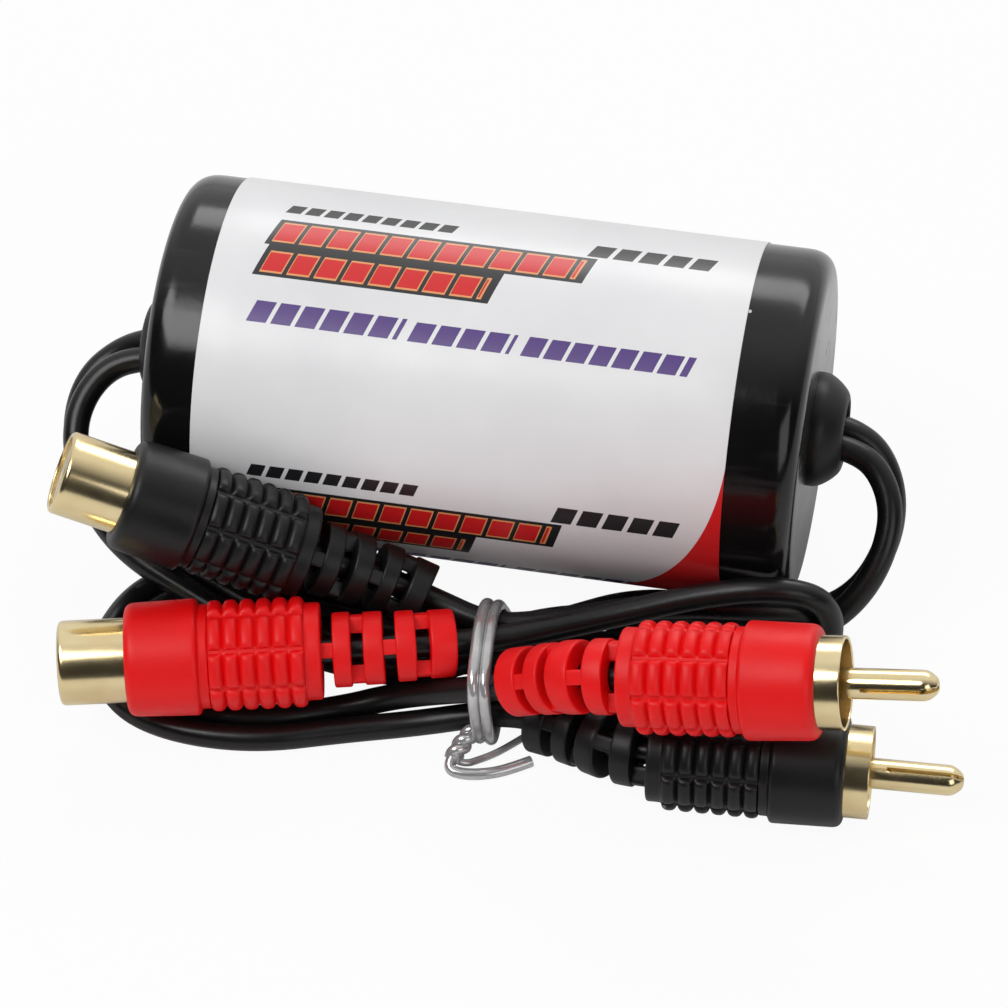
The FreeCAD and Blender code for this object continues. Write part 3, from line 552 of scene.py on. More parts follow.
@dataclass(frozen=True)
class PlatedFinish:
    """Polished plated metal with fine noise grain and slow tarnish."""

    name: str
    colour: Colour
    tarnish: Colour
    roughness: tuple[float, float]
    line_scale: float = 2600.0
    line_height: float = 0.000006

    def build(self, effects: Effects) -> bpy.types.Material:
        """Make the material.

        Args:
            effects: The shared node groups.

        Returns:
            The finished material.
        """
        material, bench, shader = new_material(self.name)
        grain = place_group(bench, effects.grain, Grain_Scale=self.line_scale, Cloud_Scale=160.0)
        colour = bench.blend(grain.outputs["Cloud"], self.colour, self.tarnish)
        rough = bench.scaled(grain.outputs["Cloud"], *self.roughness)
        grained(bench, shader, grain, self.line_height, 0.35, Base_Color=colour, Roughness=rough,
                Metallic=1.0)
        return material


class FinishShelf:
    """Every finish of the isolator, built once and fetched by its record slot."""

    def __init__(self, effects: Effects) -> None:
        """Build the materials.

        Args:
            effects: The shared node groups.
        """
        recipes = {
            "housing_plastic": MouldedFinish(
                "housing_black_gloss", (0.0035, 0.0035, 0.004), (0.006, 0.0055, 0.005), (0.13, 0.22), 1400.0,
                0.000012, 70.0, 0.01, 900.0, rub_amount=0.4, rub_colour=(0.03, 0.03, 0.032), specular=0.42),
            "label_vinyl": LabelFinish(),
            "grommet_rubber": MouldedFinish(
                "grommet_black_rubber", (0.004, 0.004, 0.0045), (0.007, 0.007, 0.0075), (0.35, 0.5), 1200.0,
                0.00002, 90.0, specular=0.36),
            "board_laminate": MouldedFinish(
                "board_green_laminate", (0.03, 0.13, 0.05), (0.04, 0.16, 0.06), (0.3, 0.4), 900.0, 0.00003),
            "core_steel": MouldedFinish(
                "core_lamination_steel", (0.16, 0.16, 0.17), (0.11, 0.10, 0.09), (0.35, 0.5), 1500.0, 0.00002,
                200.0, metallic=1.0),
            "bobbin_plastic": MouldedFinish(
                "bobbin_nylon", (0.62, 0.58, 0.46), (0.56, 0.52, 0.41), (0.45, 0.55)),
            "winding_tape": MouldedFinish(
                "winding_amber_tape", (0.5, 0.3, 0.04), (0.42, 0.24, 0.03), (0.25, 0.4), coat=0.4),
            "clamp_steel": MouldedFinish(
                "clamp_tinned_steel", (0.5, 0.5, 0.51), (0.4, 0.4, 0.4), (0.3, 0.45), 1500.0, 0.00001,
                150.0, metallic=1.0),
            "tie_nylon": MouldedFinish("tie_natural_nylon", (0.6, 0.6, 0.56), (0.55, 0.55, 0.5), (0.4, 0.5)),
            "lead_jacket": MouldedFinish(
                "lead_satin_jacket", (0.0045, 0.0045, 0.005), (0.008, 0.008, 0.0085), (0.27, 0.38), 1100.0,
                0.00003, 120.0, 0.004, 1100.0, (0.2, 0.2, 0.2), rub_amount=0.2, rub_colour=(0.03, 0.03, 0.03),
                specular=0.4),
            "boot_red": MouldedFinish(
                "boot_red_rubber", (0.82, 0.002, 0.004), (0.74, 0.002, 0.003), (0.38, 0.5), 1300.0, 0.00003,
                130.0, specular=0.32, soft_light=0.12, soft_reach=(0.0012, 0.0002, 0.0001)),
            "boot_black": MouldedFinish(
                "boot_black_rubber", (0.0045, 0.0045, 0.005), (0.008, 0.008, 0.0085), (0.34, 0.46), 1300.0,
                0.00003, 130.0, 0.003, 1000.0, (0.15, 0.15, 0.15), specular=0.34),
            "gold_plate": PlatedFinish(
                "gold_pale_plate", (0.88, 0.74, 0.45), (0.78, 0.61, 0.32), (0.15, 0.25)),
            "insulator_plastic": MouldedFinish(
                "insulator_white", (0.62, 0.61, 0.56), (0.56, 0.55, 0.5), (0.4, 0.5)),
            "tie_sleeve": MouldedFinish(
                "tie_grey_sleeve", (0.62, 0.625, 0.63), (0.42, 0.425, 0.43), (0.14, 0.24), 1600.0, 0.00004,
                420.0, metallic=0.6, coat=1.0, coat_roughness=0.06),
        }
        self.materials = {slot: recipe.build(effects) for slot, recipe in recipes.items()}

    def get(self, slot: str) -> bpy.types.Material:
        """Material of a record slot."""
        return self.materials[slot]


# Mesh tools.
def eased(corners: Sequence[tuple[float, float, float]], steps: int = 6) -> Profile:
    """Round the corners of a closed outline.

    Args:
        corners: (along, radius, rounding) of each corner, in metres.
        steps: Segments of each rounding.

    Returns:
        Points of the rounded outline.
    """
    points: Profile = []
    count = len(corners)
    for index, (x, y, rounding) in enumerate(corners):
        corner = Vector((x, y))
        if rounding <= 0.0:
            points.append((x, y))
            continue
        before = (Vector(corners[index - 1][:2]) - corner).normalized()
        after = (Vector(corners[(index + 1) % count][:2]) - corner).normalized()
        start, end = corner + before * rounding, corner + after * rounding
        for step in range(steps + 1):
            share = step / steps
            point = start * (1 - share) ** 2 + corner * 2 * share * (1 - share) + end * share ** 2
            points.append((point.x, point.y))
    return points


def dense(points: Profile, longest: float) -> Profile:
    """Split the long level runs of an outline so that they can be shaped.

    Args:
        points: Points of the outline.
        longest: Longest step between two points, in metres.

    Returns:
        The outline with more points.
    """
    result: Profile = []
    for (x, y), (next_x, next_y) in zip(points, points[1:] + points[:1]):
        count = max(1, math.ceil(math.hypot(next_x - x, next_y - y) / longest))
        run = (next_x - x, next_y - y)
        result += [(x + run[0] * step / count, y + run[1] * step / count) for step in range(count)]
    return result


def spun(points: Profile, segments: int = 96) -> bmesh.types.BMesh:
    """Turn a closed outline round the X axis.

    Args:
        points: (along, radius) points in metres.
        segments: Steps of the full turn.

    Returns:
        The closed solid of revolution.
    """
    mesh = bmesh.new()
    corners = [mesh.verts.new((x, max(y, 0.0), 0.0)) for x, y in points]
    edges = [mesh.edges.new(pair) for pair in zip(corners, corners[1:] + corners[:1])]
    bmesh.ops.spin(mesh, geom=corners + edges, cent=(0, 0, 0), axis=(1, 0, 0), dvec=(0, 0, 0),
                   angle=2 * math.pi, steps=segments, use_merge=True)
    bmesh.ops.remove_doubles(mesh, verts=mesh.verts[:], dist=SAME_PLACE)
    axis_edges = [edge for edge in mesh.edges if not edge.link_faces]
    bmesh.ops.delete(mesh, geom=axis_edges, context="EDGES")
    bmesh.ops.recalc_face_normals(mesh, faces=mesh.faces[:])
    return mesh


def curve_mesh(data: bpy.types.Curve) -> bpy.types.Mesh:
    """Mesh that a curve gives; the curve is removed.

    Args:
        data: The curve.

    Returns:
        Its evaluated mesh.
    """
    holder = bpy.data.objects.new("curve_holder", data)
    bpy.context.scene.collection.objects.link(holder)
    bpy.context.view_layer.update()
    graph = bpy.context.evaluated_depsgraph_get()
    mesh = bpy.data.meshes.new_from_object(holder.evaluated_get(graph))
    bpy.data.objects.remove(holder)
    bpy.data.curves.remove(data)
    return mesh


def new_tube(name: str, points: Sequence[Sequence[float]], diameter: float, closed: bool,
             steps: int) -> bpy.types.Curve:
    """Curve with a round section along a line.

    Args:
        name: Name of the curve.
        points: Points of the line.
        diameter: Diameter of the tube.
        closed: Join its ends with straight runs, instead of an open smooth line.
        steps: Steps between two points.

    Returns:
        The curve.
    """
    data = bpy.data.curves.new(name, "CURVE")
    data.dimensions = "3D"
    spline = data.splines.new("POLY" if closed else "NURBS")
    spline.points.add(len(points) - 1)
    for point, place in zip(spline.points, points):
        point.co = (*place, 1.0)
    if closed:
        spline.use_cyclic_u = True
    else:
        spline.order_u = 3
        spline.use_endpoint_u = True
        spline.resolution_u = steps
    data.resolution_u = steps
    data.bevel_depth = diameter / 2
    data.bevel_resolution = TUBE_SEGMENTS
    data.use_fill_caps = not closed
    return data


def merged(meshes: Iterable[bmesh.types.BMesh]) -> bmesh.types.BMesh:
    """Put several meshes into one and free them.

    Args:
        meshes: The meshes.

    Returns:
        One mesh with all their shells.
    """
    whole = bmesh.new()
    for part in meshes:
        holder = bpy.data.meshes.new("holder")
        part.to_mesh(holder)
        part.free()
        whole.from_mesh(holder)
        bpy.data.meshes.remove(holder)
    return whole


def make_piece(name: str, mesh: bmesh.types.BMesh, material: bpy.types.Material,
               replaced: Sequence[str], smooth_angle: float = 40.0) -> bpy.types.Object:
    """Make a finished piece of the object.

    Args:
        name: Name of the piece.
        mesh: Its mesh in the row frame.
        material: Its material.
        replaced: CAD nodes that it stands for.
        smooth_angle: Edges sharper than this stay sharp, in degrees.

    Returns:
        The new object.
    """
    data = bpy.data.meshes.new(name)
    bmesh.ops.recalc_face_normals(mesh, faces=mesh.faces[:])
    mesh.to_mesh(data)
    mesh.free()
    data.shade_smooth()
    data.set_sharp_from_angle(angle=math.radians(smooth_angle))
    data.materials.append(material)
    piece = bpy.data.objects.new(name, data)
    bpy.context.scene.collection.objects.link(piece)
    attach(piece, ROOT)
    if replaced:
        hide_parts(*replaced)
    LOG.info("piece %s: %d faces", name, len(data.polygons))
    return piece


# Housing.
@dataclass
class Housing:
    """Two glossy cups, the wrapped label and the rubber grommets."""

    shelf: FinishShelf
    radius: float = 0.019
    wall: float = 0.0018
    half_length: float = 0.035
    end_rounding: float = 0.003
    grommet_bore: float = 0.0046
    label_left: float = -0.02905
    label_right: float = 0.02765
    label_thickness: float = 0.00015
    grommet_radius: float = 0.00615
    grommet_hole: float = 0.0033
    grommet_proud: float = 0.0033
    grommet_edge: float = 0.0009
    dome_height: float = 0.0024
    dome_radius: float = 0.0052
    lip_radius: float = 0.0041
    flange_radius: float = 0.0059
    flange_thickness: float = 0.0013
    segments: int = 160

    def raised(self, mesh: bmesh.types.BMesh) -> bmesh.types.BMesh:
        """Lift a mesh from the axis to the housing's height."""
        bmesh.ops.translate(mesh, verts=mesh.verts[:], vec=(0, 0, HOUSING_AXIS_HEIGHT))
        return mesh

    def cup(self, side: int) -> bmesh.types.BMesh:
        """One deep cup with a rounded end.

        Args:
            side: -1 for the left cup, 1 for the right one.

        Returns:
            The cup's mesh.
        """
        end, inner = side * self.half_length, side * (self.half_length - self.wall)
        outline = eased([
            (0.0, self.radius, 0.0), (end, self.radius, self.end_rounding), (end, self.grommet_bore, 0.0),
            (inner, self.grommet_bore, 0.0), (inner, self.radius - self.wall, 0.001),
            (0.0, self.radius - self.wall, 0.0),
        ], 10)
        return self.raised(spun(outline, self.segments))

    def label(self) -> bmesh.types.BMesh:
        """Thin sleeve of vinyl with soft edges."""
        outer = self.radius + self.label_thickness
        edge = 0.00005
        outline = eased([
            (self.label_left, self.radius, 0.0), (self.label_left, outer, edge),
            (self.label_right, outer, edge), (self.label_right, self.radius, 0.0),
        ], 3)
        return self.raised(spun(dense(outline, 0.004), 192))

    def grommet(self, side: int) -> bmesh.types.BMesh:
        """Domed rubber grommet of one end.

        Args:
            side: -1 for the left end, 1 for the right one.

        Returns:
            The grommet's mesh.
        """
        face = side * self.half_length
        top = face + side * self.grommet_proud
        edge = face + side * self.grommet_edge
        back = side * (self.half_length - self.wall)
        inner = back - side * self.flange_thickness
        outline = eased([
            (face, self.grommet_bore, 0.0), (face, self.grommet_radius, 0.0),
            (edge, self.grommet_radius, 0.0007),
            (face + side * self.dome_height, self.dome_radius, 0.0009), (top, self.lip_radius, 0.0006),
            (top, self.grommet_hole, 0.0004), (inner, self.grommet_hole, 0.0004),
            (inner, self.flange_radius, 0.0004), (back, self.flange_radius, 0.0),
            (back, self.grommet_bore, 0.0),
        ], 6)
        return self.raised(spun(outline, 96))

    def build(self) -> None:
        """Build and dress the whole housing."""
        plastic = self.shelf.get("housing_plastic")
        rubber = self.shelf.get("grommet_rubber")
        for side, word in ((-1, "left"), (1, "right")):
            make_piece("housing_cup_" + word, self.cup(side), plastic, [word + "_shell"])
            make_piece("cable_grommet_" + word, self.grommet(side), rubber,
                       [word + "_grommet"])
        make_piece("wrapped_label", self.label(), self.shelf.get("label_vinyl"), ["label"])


# Connectors.
@dataclass
class Head:
    """Place of one connector and what it is."""

    name: str
    kind: Connector
    front: tuple[float, float, float]
    along: tuple[float, float, float]
    slot: str

    def place(self) -> Matrix:
        """Matrix that lays the local +X axis along the connector."""
        turn = Vector((1, 0, 0)).rotation_difference(Vector(self.along).normalized())
        return Matrix.Translation(self.front) @ turn.to_matrix().to_4x4()


@dataclass
class BootHead:
    """Moulded head of a boot: collar, neck, ribbed grip and tail ring."""

    head: Head
    socket: float
    collar_radius: float = 0.00615
    collar_length: float = 0.0075
    collar_rounding: float = 0.0011
    neck_radius: float = 0.00548
    neck_end: float = 0.0087
    grip_radius: float = 0.00525
    pad_height: float = 0.00062
    pad_half: float = 0.00079
    pitch: float = 0.00172
    first_pad: float = 0.00945
    pad_count: int = 6
    rows: int = 8
    groove: float = 0.00042
    pad_fullness: tuple[float, float] = (2.6, 7)
    pad_rounding: float = 0.6
    lead_bore: float = 0.00152
    bore_end: float = 0.0165
    tail_start: float = 0.0188
    tail_end: float = 0.0205
    tail_radius: float = 0.00512
    socket_depth: float = 0.006
    segments: int = 192

    def outline(self) -> Profile:
        """Outline of the head from its front face to its tail ring."""
        corners = [
            (0.0, self.socket, 0.0002),
            (0.0, self.collar_radius - 0.0002, self.collar_rounding),
            (-self.collar_length, self.collar_radius, 0.00035),
            (-self.collar_length - 0.0003, self.neck_radius, 0.00015),
            (-self.neck_end, self.neck_radius, 0.0002),
            (-self.neck_end - 0.0001, self.grip_radius, 0.0001),
            (-self.tail_start, self.grip_radius, 0.0001),
            (-self.tail_start - 0.00005, self.tail_radius, 0.0003),
            (-self.tail_end, self.tail_radius, 0.00035),
            (-self.tail_end, self.lead_bore, 0.0),
            (-self.bore_end, self.lead_bore, 0.0),
            (-self.bore_end, 0.0002, 0.0),
            (-self.socket_depth, 0.0002, 0.0),
            (-self.socket_depth, self.socket, 0.0),
        ]
        return dense(eased(corners, 7), 0.00013)

    def pads(self, mesh: bmesh.types.BMesh) -> None:
        """Swell the grip into rows of rounded pads.

        Args:
            mesh: The head's mesh about the X axis.
        """
        low, high = -self.tail_start, -self.neck_end - 0.00012
        step = 2 * math.pi / self.rows
        for vert in mesh.verts:
            radius = math.hypot(vert.co.y, vert.co.z)
            if not (low < vert.co.x < high and abs(radius - self.grip_radius) < 0.00003):
                continue
            number = (-vert.co.x - self.first_pad) / self.pitch
            nearest = min(max(round(number), 0), self.pad_count - 1)
            away = abs(number - nearest) * self.pitch / self.pad_half
            angle = math.atan2(vert.co.z, vert.co.y)
            aside = abs((angle + step / 2) % step - step / 2) * self.grip_radius
            half_row = step * self.grip_radius / 2 - self.groove / 2
            across = aside / half_row
            if away >= 1.0 or across >= 1.0:
                continue
            along_fill, across_fill = ((1 - share ** power) ** self.pad_rounding
                                       for share, power in zip((away, across), self.pad_fullness))
            rise = self.pad_height * along_fill * across_fill
            scale = (radius + rise) / radius
            vert.co.y *= scale
            vert.co.z *= scale

    def mesh(self) -> bmesh.types.BMesh:
        """The head in the row frame."""
        shape = spun(self.outline(), self.segments)
        self.pads(shape)
        bmesh.ops.transform(shape, matrix=self.head.place(), verts=shape.verts[:])
        return shape


@dataclass
class StrainRelief:
    """Four rings joined by pairs of bars, threaded on the lead behind a boot's head."""

    head: Head
    line: list[Vector]
    rings: tuple[tuple[float, float, float], ...] = (
        (0.0012, 0.0019, 0.00395), (0.0013, 0.0021, 0.00385),
        (0.0013, 0.002, 0.00372), (0.0014, 0.0026, 0.0036),
    )
    inner: float = 0.00156
    tail_end: float = 0.0205
    ease: float = 0.00028
    facing_width: float = 0.0016
    upright_width: float = 0.003
    bar_overlap: float = 0.0009
    bar_lift: float = 0.0002
    bar_sink: float = 0.00022
    bar_edge: float = 0.00014
    samples: int = 80

    def bar(self, start: float, gap: float, radius: float, kind: Bridge) -> list[bmesh.types.BMesh]:
        """Two bars over one gap, on opposite sides of the lead.

        Args:
            start: Where the gap starts, along the relief.
            gap: Length of the gap.
            radius: Outer radius of the rings beside it.
            kind: Which way the bars stand.

        Returns:
            The two bars' meshes about the X axis.
        """
        width = self.facing_width if kind is Bridge.FACING else self.upright_width
        low = self.inner + self.bar_lift
        high = radius - self.bar_sink
        parts = []
        for sign in (1, -1):
            part = bmesh.new()
            bmesh.ops.create_cube(part, size=1.0)
            bmesh.ops.scale(part, vec=(gap + self.bar_overlap, width, high - low), verts=part.verts[:])
            bmesh.ops.subdivide_edges(part, edges=part.edges[:], cuts=3, use_grid_fill=True)
            sharp = [edge for edge in part.edges if edge.calc_face_angle(0.0) > 1.0]
            bmesh.ops.bevel(part, geom=sharp, offset=self.bar_edge, offset_type="OFFSET", affect="EDGES",
                            segments=2, profile=0.5, material=-1)
            bmesh.ops.translate(part, verts=part.verts[:], vec=(start + gap / 2, 0, (low + high) / 2))
            if kind is Bridge.UPRIGHT:
                for vert in part.verts:
                    arch = 1 - (vert.co.y / radius) ** 2
                    vert.co.z *= math.sqrt(max(arch, 0.05))
            quarter = 0.0 if kind is Bridge.FACING else math.pi / 2
            turn = Matrix.Rotation(quarter + (0.0 if sign > 0 else math.pi), 3, "X")
            bmesh.ops.rotate(part, cent=(0, 0, 0), matrix=turn, verts=part.verts[:])
            parts.append(part)
        return parts

    def straight(self) -> bmesh.types.BMesh:
        """The relief laid out straight along +X from the boot's tail."""
        parts: list[bmesh.types.BMesh] = []
        reach = 0.0
        plug = self.head.kind is Connector.PLUG
        for index, (gap, width, radius) in enumerate(self.rings):
            upright = (index % 2 == 0) == plug
            parts += self.bar(reach, gap, radius, Bridge.UPRIGHT if upright else Bridge.FACING)
            reach += gap
            outline = eased([
                (reach, self.inner, 0.0), (reach, radius, self.ease),
                (reach + width, radius, self.ease), (reach + width, self.inner, 0.0),
            ], 5)
            parts.append(spun(dense(outline, 0.0006), 72))
            reach += width
        return merged(parts)

    def frame_at(self, distance: float) -> tuple[Vector, Vector]:
        """Point and direction on the lead at a distance from the boot's tail.

        Args:
            distance: Distance back from the tail, in metres.

        Returns:
            The point, and the direction away from the boot.
        """
        tail = self.head.place() @ Vector((-self.tail_end, 0, 0))
        points = self.line[::-1]
        left = distance + (points[0] - tail).length
        for here, there in zip(points, points[1:]):
            step = there - here
            if left <= step.length:
                return here + step * (left / step.length), step.normalized()
            left -= step.length
        raise ValueError("the relief is longer than its lead")

    def mesh(self) -> bmesh.types.BMesh:
        """The relief bent along its lead, in the row frame."""
        shape = self.straight()
        toward_view = Vector((0.0, -0.7071, 0.7071))
        samples = self.samples
        length = sum(gap + width for gap, width, _ in self.rings)
        frames = [self.frame_at(max(length * step / samples, 0.0)) for step in range(samples + 1)]
        for vert in shape.verts:
            spot = min(max(vert.co.x / length * samples, 0.0), samples - 1e-6)
            low = int(spot)
            share = spot - low
            point = frames[low][0].lerp(frames[low + 1][0], share)
            along = frames[low][1].lerp(frames[low + 1][1], share).normalized()
            rest = min(vert.co.x, 0.0)
            up = (toward_view - along * toward_view.dot(along)).normalized()
            across = up.cross(along)
            vert.co = point + along * rest + across * vert.co.y + up * vert.co.z
        return shape


@dataclass
class ConnectorMetal:
    """Metal and plastic parts seen at a connector's mouth."""

    head: Head
    shelf: FinishShelf
    barrel_radius: float = 0.00445
    barrel_bore: float = 0.0038
    barrel_length: float = 0.007
    jack_recess: float = 0.0006
    contact_radius: float = 0.0022
    contact_bore: float = 0.00166
    contact_length: float = 0.011
    shell_radius: float = 0.00485
    shell_bore: float = 0.0045
    shell_length: float = 0.00255
    pin_radius: float = 0.0016
    pin_tip: float = 0.0121
    insulator_face: float = 0.0036
    socket_depth: float = 0.006
    contact_floor: float = 0.001
    slot_start: float = 0.0042
    slot_half_width: float = 0.00023
    slot_depth: float = 0.0006
    slot_rim: float = 0.0003
    slot_floor: float = 0.0002

    def turned(self, part: str, corners: Sequence[tuple[float, float, float]], slot: str, segments: int = 96,
               shape: Callable[[bmesh.types.BMesh], None] | None = None) -> bpy.types.Object:
        """Make one turned part of the connector.

        Args:
            part: Last word of its CAD node.
            corners: Outline with roundings.
            slot: Its record slot.
            segments: Steps of the turn.
            shape: Further shaping before it is placed.

        Returns:
            The new piece.
        """
        outline = eased(corners, 6)
        mesh = spun(dense(outline, 0.0004) if shape else outline, segments)
        if shape:
            shape(mesh)
        bmesh.ops.transform(mesh, matrix=self.head.place(), verts=mesh.verts[:])
        node = "%s_%s" % (self.head.name, part)
        return make_piece(node + "_turned", mesh, self.shelf.get(slot), [node], 35.0)

    def slotted(self, mesh: bmesh.types.BMesh) -> None:
        """Sink the slot of a centre pin, open at its tip.

        Args:
            mesh: The pin's mesh about the X axis.
        """
        upward = self.head.name.startswith("black")
        outward = Vector((0.0, -0.42, 0.9075) if upward else (0.0, -0.93, 0.37))
        aside = Vector((1, 0, 0)).cross(outward)
        for vert in mesh.verts:
            height = vert.co.dot(outward)
            inside = abs(vert.co.dot(aside)) < self.slot_half_width
            if vert.co.x > self.slot_start and height > self.slot_rim and inside:
                vert.co -= outward * min(self.slot_depth, height - self.slot_floor)

    def jack(self) -> list[bpy.types.Object]:
        """Barrel, insulator and centre contact of a jack."""
        back, end = -self.socket_depth, self.barrel_length
        face = end - self.jack_recess
        bottom = face - self.contact_length
        return [
            self.turned("barrel", [
                (back, self.barrel_bore, 0.0), (back, self.barrel_radius, 0.0),
                (end, self.barrel_radius, 0.0006), (end, self.barrel_bore, 0.0002),
            ], "gold_plate", 128),
            self.turned("insulator", [
                (back, self.contact_radius, 0.0), (back, self.barrel_bore, 0.0),
                (face, self.barrel_bore, 0.0), (face, self.contact_radius, 0.0),
            ], "insulator_plastic"),
            self.turned("contact", [
                (bottom, 0.0, 0.0), (bottom, self.contact_radius, 0.0), (face, self.contact_radius, 0.0002),
                (face, self.contact_bore, 0.0002), (bottom + self.contact_floor, self.contact_bore, 0.0),
                (bottom + self.contact_floor, 0.0, 0.0),
            ], "gold_plate"),
        ]

    def plug(self) -> list[bpy.types.Object]:
        """Shell, insulator and slotted pin of a plug."""
        back, tip = -self.socket_depth, self.pin_tip
        return [
            self.turned("shell", [
                (back, self.shell_bore, 0.0), (back, self.shell_radius, 0.0),
                (self.shell_length, self.shell_radius, 0.00015),
                (self.shell_length, self.shell_bore, 0.00015),
            ], "gold_plate", 128),
            self.turned("insulator", [
                (back, self.pin_radius, 0.0), (back, self.shell_bore, 0.0),
                (-self.insulator_face, self.shell_bore, 0.0), (-self.insulator_face, self.pin_radius, 0.0),
            ], "insulator_plastic"),
            self.turned("pin", [
                (back, 0.0, 0.0), (back, self.pin_radius, 0.0), (tip - 0.0011, self.pin_radius, 0.0006),
                (tip, 0.0007, 0.0005), (tip, 0.0, 0.0),
            ], "gold_plate", 96, self.slotted),
        ]

    def build(self) -> list[bpy.types.Object]:
        """Build the parts of this kind of connector."""
        return self.jack() if self.head.kind is Connector.JACK else self.plug()


# Leads.
@dataclass
class Leads:
    """Four limp conductors on their folded routes."""

    shelf: FinishShelf
    diameter: float = CORD_DIAMETER
    exit_along: float = 0.0383
    exit_aside: float = 0.0015
    exit_height: float = 0.0182
    steps: int = 10

    def curve(self, name: str) -> bpy.types.Object:
        """One lead as a smooth tube.

        Args:
            name: Name of the lead's CAD node.

        Returns:
            The curve's object.
        """
        route = ROUTES[name]
        data = new_tube(name + "_jacket", route, self.diameter, False, self.steps)
        data.materials.append(self.shelf.get("lead_jacket"))
        lead = bpy.data.objects.new(name + "_jacket", data)
        bpy.context.scene.collection.objects.link(lead)
        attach(lead, ROOT)
        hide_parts(name)
        LOG.info("lead %s with %d route points", name, len(route))
        return lead

    @staticmethod
    def line(lead: bpy.types.Object) -> list[Vector]:
        """Centre line of a lead, from the board to the connector.

        Args:
            lead: The lead's curve object.

        Returns:
            Points along its spline.
        """
        bare = lead.data.copy()
        bare.bevel_depth = 0.0
        mesh = curve_mesh(bare)
        points = [vert.co.copy() for vert in mesh.vertices]
        bpy.data.meshes.remove(mesh)
        return points

    def build(self) -> dict[str, bpy.types.Object]:
        """Build the four leads."""
        return {name: self.curve(name) for name in ROUTES}

    def declare(self, lead: bpy.types.Object) -> None:
        """Work out one lead's centre line; nothing further is done with it.

        Args:
            lead: The lead's object.
        """
        line = self.line(lead)


